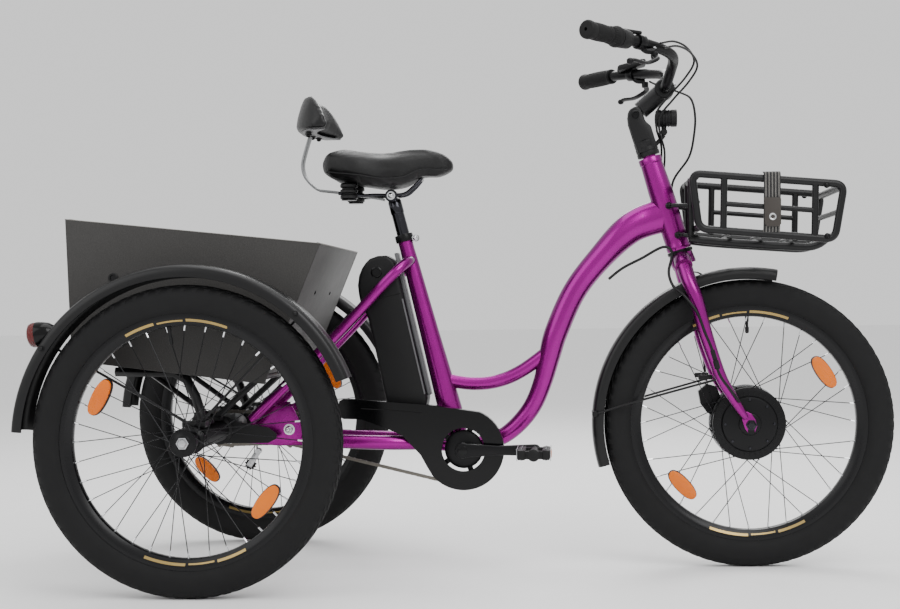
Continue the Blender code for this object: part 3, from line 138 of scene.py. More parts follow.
def mirrored(mesh: bpy.types.Mesh) -> bpy.types.Mesh:
    """Return a copy of a mesh on the other side of the tricycle."""
    made = mesh.copy()
    made.transform(Matrix.Diagonal((1.0, -1.0, 1.0, 1.0)))
    made.flip_normals()
    return made


def both(mesh: bpy.types.Mesh) -> bpy.types.Mesh:
    """A mesh and its mirror image in one."""
    return merged(mirrored(mesh), mesh)


def smooth_path(points: Sequence[Point], parts: int, closed: bool = False) -> list[Vector]:
    """Run a Catmull-Rom curve through points of any dimension."""
    knots = [Vector(p) for p in points]
    count = len(knots)
    path = []
    for index in range(count if closed else count - 1):
        if closed:
            a, b, c, d = (knots[(index + step) % count] for step in (-1, 0, 1, 2))
        else:
            a, b, c, d = (knots[min(max(index + step, 0), count - 1)] for step in (-1, 0, 1, 2))
        for part in range(parts):
            t = part / parts
            path.append(0.5 * (2 * b + (c - a) * t + (2 * a - 5 * b + 4 * c - d) * t * t
                               + (3 * b - a - 3 * c + d) * t ** 3))
    return path if closed else path + [knots[-1]]


def sweep(points: Sequence[Point], radius: float, sides: int = 20, parts: int = 6, closed: bool = False,
          flat: float = 1.0, up: Point = (0, 0, 1)) -> bpy.types.Mesh:
    """Sweep a round or flattened section along a smooth path.

    Args:
        points: the path; a fourth number is that point's own radius.
        radius: the section's radius where a point has none.
        sides: points round the section.
        parts: steps between two points of the path.
        closed: whether the path is a loop.
        flat: the section's height over its width.
        up: roughly the direction of the section's height.

    Returns:
        A closed mesh.
    """
    path = smooth_path(points, parts, closed) if parts > 1 else [Vector(p) for p in points]
    spine = [p.to_3d() if len(p) == 3 else Vector(p[:3]) for p in path]
    radii = [p[3] if len(p) > 3 else radius for p in path]
    shape = bmesh.new()
    rings = []
    count = len(spine)
    height = None
    for index in range(count):
        ahead = spine[(index + 1) % count] if closed or index < count - 1 else spine[index]
        behind = spine[index - 1] if closed or index > 0 else spine[index]
        along = (ahead - behind).normalized()
        height = Vector(up) if height is None else height
        height = (height - along * height.dot(along)).normalized()
        across = along.cross(height)
        ring = []
        for step in range(sides):
            angle = 2 * math.pi * step / sides
            offset = across * math.cos(angle) + height * math.sin(angle) * flat
            ring.append(shape.verts.new(spine[index] + offset * radii[index]))
        rings.append(ring)
    pairs = list(zip(rings, rings[1:] + rings[:1])) if closed else list(zip(rings, rings[1:]))
    for near, far in pairs:
        for step in range(sides):
            after = (step + 1) % sides
            shape.faces.new((near[step], near[after], far[after], far[step]))
    if not closed:
        shape.faces.new(rings[0][::-1])
        shape.faces.new(rings[-1])
    return from_bmesh(shape)


def lathe(profile: Sequence[tuple[float, float]], start: Point, direction: Point, steps: int = 48,
          closed: bool = False) -> bpy.types.Mesh:
    """Turn a profile of (radius, distance along the axis) about an axis.

    Args:
        profile: corners of the section; an open one is closed on the axis.
        start: where the axis starts.
        direction: the axis.
        steps: faces round the axis.
        closed: whether the profile is a closed loop off the axis.

    Returns:
        A closed mesh.
    """
    corners = list(profile) if closed else [(0.0, profile[0][1]), *profile, (0.0, profile[-1][1])]
    turn = Vector(direction).to_track_quat("Z", "Y")
    shape = bmesh.new()
    rings = []
    for radius, along in corners:
        ring = []
        for step in range(1 if radius < 1e-7 else steps):
            angle = 2 * math.pi * step / steps
            ring.append(shape.verts.new(
                Vector(start) + turn @ Vector((radius * math.cos(angle), radius * math.sin(angle), along))))
        rings.append(ring)
    for near, far in zip(rings, rings[1:] + rings[:1] if closed else rings[1:]):
        for step in range(steps):
            after = (step + 1) % steps
            corner = [near[step % len(near)], near[after % len(near)], far[after % len(far)],
                far[step % len(far)]]
            face = list(dict.fromkeys(corner))
            if len(face) > 2:
                shape.faces.new(face)
    return from_bmesh(shape, 30.0)


def slab(outline: Sequence[tuple[float, float]], low_y: float, high_y: float, bevel: float = 0.001,
         segments: int = 2) -> bpy.types.Mesh:
    """A flat piece from its outline in X and Z, with rounded edges.

    Args:
        outline: the corners in X and Z.
        low_y: its right face.
        high_y: its left face.
        bevel: how far the edges are rounded; nought leaves them.
        segments: steps round an edge.

    Returns:
        A closed mesh.
    """
    shape = bmesh.new()
    face = shape.faces.new([shape.verts.new((x, low_y, z)) for x, z in outline])
    grown = bmesh.ops.extrude_face_region(shape, geom=[face])
    bmesh.ops.translate(shape, vec=(0, high_y - low_y, 0),
                        verts=[v for v in grown["geom"] if isinstance(v, bmesh.types.BMVert)])
    bmesh.ops.recalc_face_normals(shape, faces=shape.faces)
    if bevel > 0:
        edges = [e for e in shape.edges if e.calc_face_angle(0.0) > math.radians(30)]
        bmesh.ops.bevel(shape, geom=edges, offset=bevel, segments=segments, affect="EDGES", profile=0.5,
                        clamp_overlap=True)
    return from_bmesh(shape)


def box(low: Point, high: Point, bevel: float = 0.001) -> bpy.types.Mesh:
    """A block between two corners with rounded edges."""
    outline = [(low[0], low[2]), (high[0], low[2]), (high[0], high[2]), (low[0], high[2])]
    return slab(outline, low[1], high[1], bevel)


def rod(start: Point, end: Point, radius: float, sides: int = 20, bevel: float = 0.0) -> bpy.types.Mesh:
    """A straight round bar between two points, with its ends eased by bevel."""
    along = Vector(end) - Vector(start)
    ease = min(bevel, radius * 0.8)
    profile = [(radius - ease, 0.0), (radius, ease), (radius, along.length - ease),
        (radius - ease, along.length)]
    return lathe(profile if ease else profile[1:3], start, along, sides)


def loft(rings: Sequence[Sequence[Point]]) -> bpy.types.Mesh:
    """Close a skin through rings of points."""
    shape = bmesh.new()
    rows = [[shape.verts.new(p) for p in ring] for ring in rings]
    for near, far in zip(rows, rows[1:]):
        for index in range(len(near)):
            after = (index + 1) % len(near)
            shape.faces.new((near[index], near[after], far[after], far[index]))
    shape.faces.new(rows[0][::-1])
    shape.faces.new(rows[-1])
    return from_bmesh(shape)


def arc(centre: tuple[float, float], radius: float, start_deg: float, end_deg: float,
        count: int) -> list[tuple[float, float]]:
    """Points of an arc in X and Z, angles from +X towards +Z."""
    points = []
    for index in range(count):
        angle = math.radians(start_deg + (end_deg - start_deg) * index / (count - 1))
        points.append((centre[0] + radius * math.cos(angle), centre[1] + radius * math.sin(angle)))
    return points


def strip(path: Sequence[tuple[float, float]], thickness: float) -> list[tuple[float, float]]:
    """Outline of a bent flat bar seen edge on, from its centre line in X and Z."""
    centre = [Vector(p) for p in path]
    upper, lower = [], []
    for index, point in enumerate(centre):
        along = (centre[min(index + 1, len(centre) - 1)] - centre[max(index - 1, 0)]).normalized()
        side = Vector((-along.y, along.x)) * thickness / 2
        upper.append(tuple(point + side))
        lower.append(tuple(point - side))
    return upper + lower[::-1]


def bake(piece: bpy.types.Object) -> None:
    """Replace a piece's mesh by its modified one."""
    graph = bpy.context.evaluated_depsgraph_get()
    made = bpy.data.meshes.new_from_object(piece.evaluated_get(graph))
    piece.modifiers.clear()
    piece.data = made


def dome_nut(centre: Point, direction: Point, radius: float = 0.006) -> bpy.types.Mesh:
    """A washer with a domed nut on it."""
    return lathe([(radius * 1.45, 0.0), (radius * 1.45, radius * 0.22), (radius, radius * 0.24),
                  (radius, radius * 0.7), (radius * 0.8, radius * 1.1), (radius * 0.4, radius * 1.35)],
                 centre, direction, 20)


# ------------------------------------------------------------------ shader and geometry nodes
def linear(colour: str) -> tuple[float, float, float, float]:
    """Turn an sRGB hex colour to linear values."""
    parts = [int(colour[i:i + 2], 16) / 255 for i in (1, 3, 5)]
    return (*(p / 12.92 if p <= 0.04045 else ((p + 0.055) / 1.055) ** 2.4 for p in parts), 1.0)


def add_node(tree: bpy.types.NodeTree, kind: str, inputs: dict | None = None, **settings) -> bpy.types.Node:
    """Add a node to a tree.

    Args:
        tree: the shader or geometry tree.
        kind: the node's type.
        inputs: socket name or number to a value, or to the socket that feeds it.
        settings: the node's own settings.

    Returns:
        The node.
    """
    made = tree.nodes.new(kind)
    for name, value in settings.items():
        setattr(made, name, value)
    for key, value in (inputs or {}).items():
        if isinstance(value, bpy.types.NodeSocket):
            tree.links.new(value, made.inputs[key])
        else:
            made.inputs[key].default_value = value
    return made


@dataclass(frozen=True)
class Finish:
    """A moulded or painted surface with fine grain, slow colour drift and uneven gloss."""

    name: str
    colour: str
    shade: str
    roughness: float
    metallic: float = 0.0
    coat: float = 0.0
    grain_mm: float = 0.8
    bump: float = 0.05
    drift_mm: float = 60.0
    gloss_drift: float = 0.12
    specular: float = 0.5

    def height(self, tree: bpy.types.NodeTree, where: bpy.types.NodeSocket) -> bpy.types.NodeSocket:
        """The grain's height: plain noise of the grain's size."""
        grain = add_node(tree, "ShaderNodeTexNoise", {"Vector": where, "Scale": 1000 / self.grain_mm / 3,
            "Detail": 4.0, "Roughness": 0.6})
        return grain.outputs["Fac"]

    def tint(self, tree: bpy.types.NodeTree, where: bpy.types.NodeSocket) -> bpy.types.NodeSocket:
        """The colour: the two tones mixed by slow noise."""
        drift = add_node(tree, "ShaderNodeTexNoise",
                         {"Vector": where, "Scale": 1000 / self.drift_mm / 2, "Detail": 3.0})
        return add_node(tree, "ShaderNodeMix", {
            0: drift.outputs["Fac"], 6: linear(self.shade), 7: linear(self.colour),
        }, data_type="RGBA").outputs[2]

    def shader(self, tree: bpy.types.NodeTree) -> bpy.types.Node:
        """The surface shader with the values that are the same all over."""
        made = add_node(tree, "ShaderNodeBsdfPrincipled",
            {"Metallic": self.metallic, "Coat Weight": self.coat, "Specular IOR Level": self.specular})
        made.inputs["Coat Roughness"].default_value = 0.06
        return made

    def material(self) -> bpy.types.Material:
        """Make the material, once."""
        known = bpy.data.materials.get(self.name)
        if known:
            return known
        made = bpy.data.materials.new(self.name)
        made.use_nodes = True
        made.diffuse_color = linear(self.colour)
        tree = made.node_tree
        tree.nodes.clear()
        where = add_node(tree, "ShaderNodeTexCoord").outputs["Object"]
        body = self.shader(tree)
        tree.links.new(self.tint(tree, where), body.inputs["Base Color"])
        wear = add_node(tree, "ShaderNodeTexNoise", {"Vector": where, "Scale": 38.0, "Detail": 5.0})
        gloss = add_node(tree, "ShaderNodeMapRange", {
            "Value": wear.outputs["Fac"], "To Min": max(0.02, self.roughness - self.gloss_drift / 2),
            "To Max": min(1.0, self.roughness + self.gloss_drift / 2),
        })
        tree.links.new(gloss.outputs[0], body.inputs["Roughness"])
        relief = add_node(tree, "ShaderNodeBump", {
            "Height": self.height(tree, where), "Strength": self.bump, "Distance": self.grain_mm / 1000,
        })
        tree.links.new(relief.outputs[0], body.inputs["Normal"])
        add_node(tree, "ShaderNodeOutputMaterial", {"Surface": body.outputs[0]})
        return made


@dataclass(frozen=True)
class CandyLacquer(Finish):
    """Tinted clear lacquer over a metallic base: it turns violet and dark towards the edges of a tube."""

    edge: str = "#3A0640"

    def tint(self, tree: bpy.types.NodeTree, where: bpy.types.NodeSocket) -> bpy.types.NodeSocket:
        """The base's two tones, then the deeper tint where the lacquer is seen at a slant."""
        slant = add_node(tree, "ShaderNodeLayerWeight", {"Blend": 0.35})
        return add_node(tree, "ShaderNodeMix", {
            0: slant.outputs["Facing"], 6: Finish.tint(self, tree, where), 7: linear(self.edge),
        }, data_type="RGBA").outputs[2]


@dataclass(frozen=True)
class GrainedHide(Finish):
    """Vinyl or moulded rubber pressed with a leather grain: rounded cells with creases between them."""

    def height(self, tree: bpy.types.NodeTree, where: bpy.types.NodeSocket) -> bpy.types.NodeSocket:
        """Cell grain from the distance to the nearest cell edge."""
        cells = add_node(tree, "ShaderNodeTexVoronoi",
                         {"Vector": where, "Scale": 1000 / self.grain_mm / 1.6}, feature="DISTANCE_TO_EDGE")
        return add_node(tree, "ShaderNodeMapRange",
                        {"Value": cells.outputs["Distance"], "From Max": 0.12}).outputs[0]


@dataclass(frozen=True)
class BrushedMetal(Finish):
    """Drawn or brushed metal: fine scratches that run along X."""

    def height(self, tree: bpy.types.NodeTree, where: bpy.types.NodeSocket) -> bpy.types.NodeSocket:
        """Noise stretched along X."""
        scale = 1000 / self.grain_mm / 3
        lines = add_node(tree, "ShaderNodeMapping", {"Vector": where, "Scale": (scale * 0.04, scale, scale)})
        return add_node(tree, "ShaderNodeTexNoise", {"Vector": lines.outputs[0], "Scale": 1.0}).outputs["Fac"]


@dataclass(frozen=True)
class SpeckledLaminate(Finish):
    """Pressed laminate: a hard matt sheet with dark and light specks and short fibres in it."""

    speck: str = "#4C4A48"

    def tint(self, tree: bpy.types.NodeTree, where: bpy.types.NodeSocket) -> bpy.types.NodeSocket:
        """The sheet's drift of tone, then specks of the third colour."""
        fibre = add_node(tree, "ShaderNodeMapping", {"Vector": where, "Scale": (420.0, 420.0, 900.0)})
        specks = add_node(tree, "ShaderNodeTexNoise", {"Vector": fibre.outputs[0], "Scale": 1.0,
            "Detail": 6.0, "Roughness": 0.75})
        share = add_node(tree, "ShaderNodeMapRange", {
            "Value": specks.outputs["Fac"], "From Min": 0.46, "From Max": 0.74, "To Max": 0.75})
        return add_node(tree, "ShaderNodeMix", {
            0: share.outputs[0], 6: Finish.tint(self, tree, where), 7: linear(self.speck),
        }, data_type="RGBA").outputs[2]


@dataclass(frozen=True)
class ClearLens(Finish):
    """Dyed acrylic with a moulded prism back: it glows a little where light passes through."""

    def shader(self, tree: bpy.types.NodeTree) -> bpy.types.Node:
        """A glossy shader that lets some light through."""
        made = Finish.shader(self, tree)
        made.inputs["Transmission Weight"].default_value = 0.25
        made.inputs["IOR"].default_value = 1.49
        return made

    def height(self, tree: bpy.types.NodeTree, where: bpy.types.NodeSocket) -> bpy.types.NodeSocket:
        """Small cube-corner prisms."""
        return add_node(tree, "ShaderNodeTexVoronoi", {"Vector": where, "Scale": 1000 / self.grain_mm},
                        distance="CHEBYCHEV").outputs["Distance"]


@dataclass(frozen=True)
class WovenElastic(Finish):
    """Elastic webbing: fine ribs across it, and pale threads along it."""

    thread: str = "#85827D"

    def tint(self, tree: bpy.types.NodeTree, where: bpy.types.NodeSocket) -> bpy.types.NodeSocket:
        """Pale threads along Z, broken by the ribs."""
        rows = add_node(tree, "ShaderNodeTexWave", {"Vector": where, "Scale": 48.0}, bands_direction="X")
        ribs = add_node(tree, "ShaderNodeTexWave", {"Vector": where, "Scale": 150.0}, bands_direction="Z")
        both_ways = add_node(tree, "ShaderNodeMath", {0: rows.outputs["Fac"], 1: ribs.outputs["Fac"]},
                             operation="MULTIPLY")
        share = add_node(tree, "ShaderNodeMapRange", {"Value": both_ways.outputs[0], "From Min": 0.42,
                                                      "From Max": 0.6})
        return add_node(tree, "ShaderNodeMix", {
            0: share.outputs[0], 6: linear(self.colour), 7: linear(self.thread)}, data_type="RGBA").outputs[2]

    def height(self, tree: bpy.types.NodeTree, where: bpy.types.NodeSocket) -> bpy.types.NodeSocket:
        """The ribs across the webbing."""
        return add_node(tree, "ShaderNodeTexWave", {"Vector": where, "Scale": 150.0},
                        bands_direction="Z").outputs["Fac"]


# Deep magenta that turns violet at a tube's edges, with metal-bright highlights.
CANDY = CandyLacquer("magenta_candy_lacquer", "#9C0088", "#7E006C", 0.27, metallic=0.85, coat=0.25,
                     grain_mm=0.5, bump=0.03, gloss_drift=0.06, specular=0.2)
# Black with a soft broad sheen and a faint orange-peel.
POWDER = Finish("black_powder_coat", "#0B0B0D", "#070708", 0.4, grain_mm=0.7, bump=0.08, specular=0.3)
# Black metal with a tighter, cooler highlight than paint.
SATIN_BLACK = Finish("black_anodised_aluminium", "#101012", "#0A0A0B", 0.32, metallic=0.4, grain_mm=0.4,
                     bump=0.05, specular=0.3)
# Black with a sharp line of light round the rim.
RIM_BLACK = Finish("black_anodised_rim", "#0B0B0D", "#08080A", 0.28, metallic=0.3, grain_mm=0.5, bump=0.04,
                   specular=0.35)
# Moulded black, evenly glossy along its curve.
FENDER_BLACK = Finish("black_moulded_polypropylene", "#0C0C0D", "#080809", 0.34, grain_mm=0.9, bump=0.05,
                      specular=0.3)
# The deepest black, with clear reflections.
GLOSS_BLACK = Finish("black_gloss_abs", "#060607", "#040405", 0.14, grain_mm=1.2, bump=0.02,
                     gloss_drift=0.05, specular=0.22)
# Fine pebbled black that stays dull in the light.
MATT_BLACK = Finish("black_textured_nylon", "#0C0C0D", "#080809", 0.5, grain_mm=0.6, bump=0.25, specular=0.25)
# Dull black that shows its tread only by its shape.
RUBBER = Finish("black_tyre_rubber", "#0D0D0E", "#09090A", 0.7, grain_mm=0.7, bump=0.2, specular=0.25)
# Soft black, duller than the plastic beside it.
GRIP = Finish("black_grip_rubber", "#0C0C0D", "#080808", 0.65, grain_mm=0.5, bump=0.35, specular=0.25)
# Smooth black line with a thin highlight.
CABLE = Finish("black_cable_sleeve", "#0A0A0B", "#070708", 0.35, grain_mm=0.5, bump=0.05, specular=0.3)
# Bright plated metal with fine drawn lines.
STEEL = BrushedMetal("plated_steel", "#C3C4C6", "#AFB0B2", 0.27, metallic=1.0, grain_mm=0.3, bump=0.06)
# Bare grey metal with a broad highlight.
DULL_STEEL = BrushedMetal("bare_grey_steel", "#8E8F90", "#777879", 0.42, metallic=1.0, grain_mm=0.4, bump=0.1)
# Mirror-bright small parts.
CHROME = Finish("bright_chrome", "#D6D7D9", "#CACBCD", 0.09, metallic=1.0, grain_mm=0.5, bump=0.01,
                gloss_drift=0.04)
# Dark polished metal that shows black and white streaks.
DARK_CHROME = Finish("dark_polished_alloy", "#3C3C40", "#2C2C30", 0.14, metallic=1.0, grain_mm=0.5, bump=0.02)
# Warm oily grey, glinting link by link.
CHAIN_STEEL = BrushedMetal("oiled_chain_steel", "#77736D", "#56524C", 0.34, metallic=0.9, grain_mm=0.3)
# Thin dark lines with a spark of light.
SPOKE_STEEL = Finish("black_stainless_spoke", "#161618", "#101012", 0.3, metallic=0.7, grain_mm=0.3,
    bump=0.02)
# Dark grey sheet with a fine gritty speckle.
LAMINATE = SpeckledLaminate("grey_pressed_laminate", "#2E2D2C", "#252423", 0.6, grain_mm=0.9, bump=0.22,
                            specular=0.3)
# The same speckled sheet in a lighter grey: painted light on the front panel, which faces the light.
LAMINATE_PAINTED_LIGHT = SpeckledLaminate("pale_grey_laminate", "#4A4A49", "#424241", 0.55, grain_mm=0.9, bump=0.18,
                                 specular=0.3, speck="#646462")
# A thin lighter line along the box's rim.
EDGE_TRIM = Finish("grey_edge_banding", "#6E6C68", "#605E5A", 0.5, grain_mm=1.0, bump=0.05)
# Black with a leather grain that breaks up the highlight.
VINYL = GrainedHide("black_grained_vinyl", "#0C0C0D", "#080808", 0.42, grain_mm=1.6, bump=0.22, specular=0.3)
# Black with a finer grain and a tighter sheen.
SMOOTH_VINYL = GrainedHide("dark_side_vinyl", "#0E0E0F", "#09090A", 0.36, grain_mm=1.1, bump=0.12,
    specular=0.3)
# A thin dark line of stitches.
THREAD = Finish("black_polyester_thread", "#151516", "#101011", 0.6, grain_mm=0.3, bump=0.2, specular=0.25)
# Orange with small prisms that catch the light.
AMBER = ClearLens("amber_reflector_acrylic", "#FF8A00", "#E05A00", 0.25, grain_mm=2.2, bump=0.5, specular=0.3)
# Deep red, glossy dome.
RED = ClearLens("red_lamp_acrylic", "#6A0705", "#480403", 0.14, grain_mm=2.6, bump=0.45, specular=0.35)
# Clear glossy lens with a prism pattern.
CLEAR = ClearLens("clear_lamp_acrylic", "#DADDE0", "#C6CACE", 0.08, coat=0.6, grain_mm=3.0, bump=0.3)
# Dark ribbed band with pale threads.
WEBBING = WovenElastic("black_and_white_elastic", "#161617", "#161617", 0.85, grain_mm=1.2, bump=0.4)
# Dull brown-grey hide.
LEATHER_TAB = GrainedHide("brown_grey_tab", "#3C3733", "#312D2A", 0.55, grain_mm=1.2, bump=0.2, specular=0.3)
# Thin metallic gold bars.
GOLD_DECAL = Finish("gold_foil_decal", "#B89B5A", "#8C7A52", 0.32, metallic=0.8, grain_mm=0.8, bump=0.03)
# Plain mid-grey plastic.
GREY_STRIP = Finish("grey_plastic", "#58585A", "#4A4A4C", 0.4, grain_mm=0.8, bump=0.05)
# Dull black rubber with an even sheen.
ELASTOMER = Finish("black_spring_elastomer", "#0D0D0E", "#09090A", 0.45, grain_mm=0.8, bump=0.1, specular=0.3)


class Site:
    """Where the tricycle stands in the frame's axes, and the count of pieces made."""

    def __init__(self) -> None:
        """Read the rear axle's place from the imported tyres."""
        low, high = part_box("rear_tyre_right")
        self.shift = Vector(((low.x + high.x) / 2, 0.0, 0.0))
        self.count = 0

    def world(self, point: Point) -> Vector:
        """A place from the rear axle in the frame's axes."""
        return Vector(point) + self.shift

    def loose(self, name: str, mesh: bpy.types.Mesh) -> bpy.types.Object:
        """Put a mesh in the scene, in place, with no finish yet."""
        mesh.name = name
        mesh.transform(Matrix.Translation(self.shift))
        made = bpy.data.objects.new(name, mesh)
        bpy.context.scene.collection.objects.link(made)
        return made

    def add(self, name: str, mesh: bpy.types.Mesh, finish: Finish, body: str, slot: str = "",
            stands_for: Iterable[str] = ()) -> bpy.types.Object:
        """Finish a piece and put it on its body.

        Args:
            name: the piece's name.
            mesh: its mesh, placed from the rear axle.
            finish: its finish.
            body: the CAD body that it rides on.
            slot: the record's material slot, if it has one; not used.
            stands_for: the CAD nodes that it replaces.

        Returns:
            The piece.
        """
        made = self.loose(name, mesh)
        return self.dress(made, finish, body, slot, stands_for)

    def dress(self, made: bpy.types.Object, finish: Finish, body: str | None, slot: str = "",
              stands_for: Iterable[str] = ()) -> bpy.types.Object:
        """Give a placed object its finish, its body and what it stands for."""
        made.data.materials.clear()
        made.data.materials.append(finish.material())
        if body:
            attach(made, body)
        if stands_for:
            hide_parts(*stands_for)
        self.count += 1
        LOG.info("%s: %s, %d faces, on %s", made.name, finish.name, len(made.data.polygons), body)
        return made

    def refined(self, node: str, finish: Finish, body: str, slot: str,
            bevel: float = 0.0006) -> bpy.types.Object:
        """Replace a CAD node by a merged copy of itself with eased edges."""
        shape = bmesh.new()
        shape.from_mesh(FRAME["nodes"][node].data)
        bmesh.ops.remove_doubles(shape, verts=shape.verts, dist=2e-6)
        bmesh.ops.dissolve_limit(shape, angle_limit=math.radians(2), verts=shape.verts, edges=shape.edges)
        if bevel:
            edges = [e for e in shape.edges if len(e.link_faces) == 2
                and e.calc_face_angle(0) > math.radians(50)]
            bmesh.ops.bevel(shape, geom=edges, offset=bevel, segments=1, affect="EDGES", clamp_overlap=True)
        mesh = from_bmesh(shape, 38.0, recalc=False)
        mesh.transform(Matrix.Translation(-self.shift))
        return self.add(f"{node}_look", mesh, finish, body, slot, [node])


FRAME: dict = {}


def round_tree() -> bpy.types.NodeTree:
    """Geometry nodes that repeat an item round the Y axis of a wheel.

    Returns:
        The tree, with inputs Item, Count, Centre and Finish.
    """
    known = bpy.data.node_groups.get("repeat_round")
    if known:
        return known
    tree = bpy.data.node_groups.new("repeat_round", "GeometryNodeTree")
    face = tree.interface
    face.new_socket("Item", in_out="INPUT", socket_type="NodeSocketGeometry")
    face.new_socket("Count", in_out="INPUT", socket_type="NodeSocketInt")
    face.new_socket("Centre", in_out="INPUT", socket_type="NodeSocketVector")
    face.new_socket("Finish", in_out="INPUT", socket_type="NodeSocketMaterial")
    face.new_socket("Ring", in_out="OUTPUT", socket_type="NodeSocketGeometry")
    given = add_node(tree, "NodeGroupInput")
    points = add_node(tree, "GeometryNodePoints", {"Count": given.outputs["Count"]})
    share = add_node(tree, "ShaderNodeMath", {0: add_node(tree, "GeometryNodeInputIndex").outputs[0],
        1: given.outputs["Count"]}, operation="DIVIDE")
    angle = add_node(tree, "ShaderNodeMath", {0: share.outputs[0], 1: 2 * math.pi}, operation="MULTIPLY")
    turn = add_node(tree, "ShaderNodeCombineXYZ", {"Y": angle.outputs[0]})
    copies = add_node(tree, "GeometryNodeInstanceOnPoints", {
        "Points": points.outputs[0], "Instance": given.outputs["Item"], "Rotation": turn.outputs[0]})
    real = add_node(tree, "GeometryNodeRealizeInstances", {0: copies.outputs[0]})
    placed = add_node(tree, "GeometryNodeTransform", {
        "Geometry": real.outputs[0], "Translation": given.outputs["Centre"]})
    dressed = add_node(tree, "GeometryNodeSetMaterial", {
        "Geometry": placed.outputs[0], "Material": given.outputs["Finish"]})
    add_node(tree, "NodeGroupOutput", {0: dressed.outputs[0]})
    return tree


def path_tree() -> bpy.types.NodeTree:
    """Geometry nodes that set an item at even steps along a looped curve.

    Returns:
        The tree, with inputs Path, Item, Count and Finish.
    """
    known = bpy.data.node_groups.get("repeat_along")
    if known:
        return known
    tree = bpy.data.node_groups.new("repeat_along", "GeometryNodeTree")
    face = tree.interface
    face.new_socket("Path", in_out="INPUT", socket_type="NodeSocketGeometry")
    face.new_socket("Item", in_out="INPUT", socket_type="NodeSocketObject")
    face.new_socket("Count", in_out="INPUT", socket_type="NodeSocketInt")
    face.new_socket("Finish", in_out="INPUT", socket_type="NodeSocketMaterial")
    face.new_socket("Row", in_out="OUTPUT", socket_type="NodeSocketGeometry")
    given = add_node(tree, "NodeGroupInput")
    loop = add_node(tree, "GeometryNodeMeshToCurve", {"Mesh": given.outputs["Path"]})
    steps = add_node(tree, "GeometryNodeCurveToPoints", {
        "Curve": loop.outputs[0], "Count": given.outputs["Count"]}, mode="COUNT")
    aim = add_node(tree, "FunctionNodeAlignEulerToVector", {"Vector": steps.outputs["Tangent"]}, axis="X",
                   pivot_axis="Y")
    item = add_node(tree, "GeometryNodeObjectInfo", {"Object": given.outputs["Item"]})
    copies = add_node(tree, "GeometryNodeInstanceOnPoints", {
        "Points": steps.outputs["Points"], "Instance": item.outputs["Geometry"], "Rotation": aim.outputs[0]})
    real = add_node(tree, "GeometryNodeRealizeInstances", {0: copies.outputs[0]})
    dressed = add_node(tree, "GeometryNodeSetMaterial", {
        "Geometry": real.outputs[0], "Material": given.outputs["Finish"]})
    add_node(tree, "NodeGroupOutput", {0: dressed.outputs[0]})
    return tree


def run_tree(tree: bpy.types.NodeTree, seed: bpy.types.Mesh, values: dict) -> bpy.types.Mesh:
    """Run a geometry tree on a mesh and return the plain result.

    Args:
        tree: the geometry tree.
        seed: the mesh that enters by its first input.
        values: input name to value.

    Returns:
        The resulting mesh, smooth-shaded.
    """
    holder = bpy.data.objects.new("holder", seed)
    bpy.context.scene.collection.objects.link(holder)
    step = holder.modifiers.new("repeat", "NODES")
    step.node_group = tree
    for item in tree.interface.items_tree:
        if item.in_out == "INPUT" and item.name in values:
            step[item.identifier] = values[item.name]
    graph = bpy.context.evaluated_depsgraph_get()
    made = bpy.data.meshes.new_from_object(holder.evaluated_get(graph))
    bpy.data.objects.remove(holder, do_unlink=True)
    made.shade_smooth()
    made.set_sharp_from_angle(angle=math.radians(35))
    return made


def ring_of(item: bpy.types.Mesh, count: int, centre: Point, finish: Finish) -> bpy.types.Mesh:
    """Repeat an item, made about the origin, round a wheel's centre."""
    return run_tree(round_tree(), item, {"Count": count, "Centre": tuple(centre),
        "Finish": finish.material()})


def row_along(path: Sequence[Point], item: bpy.types.Mesh, count: int, finish: Finish) -> bpy.types.Mesh:
    """Repeat an item, made about the origin along X, round a closed path."""
    line = bpy.data.meshes.new("path")
    edges = [(i, (i + 1) % len(path)) for i in range(len(path))]
    line.from_pydata([tuple(p) for p in path], edges, [])
    pattern = bpy.data.objects.new("pattern", item)
    bpy.context.scene.collection.objects.link(pattern)
    made = run_tree(path_tree(), line, {"Item": pattern, "Count": count, "Finish": finish.material()})
    bpy.data.objects.remove(pattern, do_unlink=True)
    return made


def round_part(section: Sequence[tuple[float, float]], centre: Point, start_deg: float, end_deg: float,
               steps: int) -> bpy.types.Mesh:
    """Carry a closed section of (radius, sideways) round part of a wheel, with flat ends."""
    rings = []
    for index in range(steps + 1):
        turn = math.radians(start_deg + (end_deg - start_deg) * index / steps)
        rings.append([Vector(centre) + Vector((r * math.cos(turn), y, r * math.sin(turn)))
            for r, y in section])
    return loft(rings)


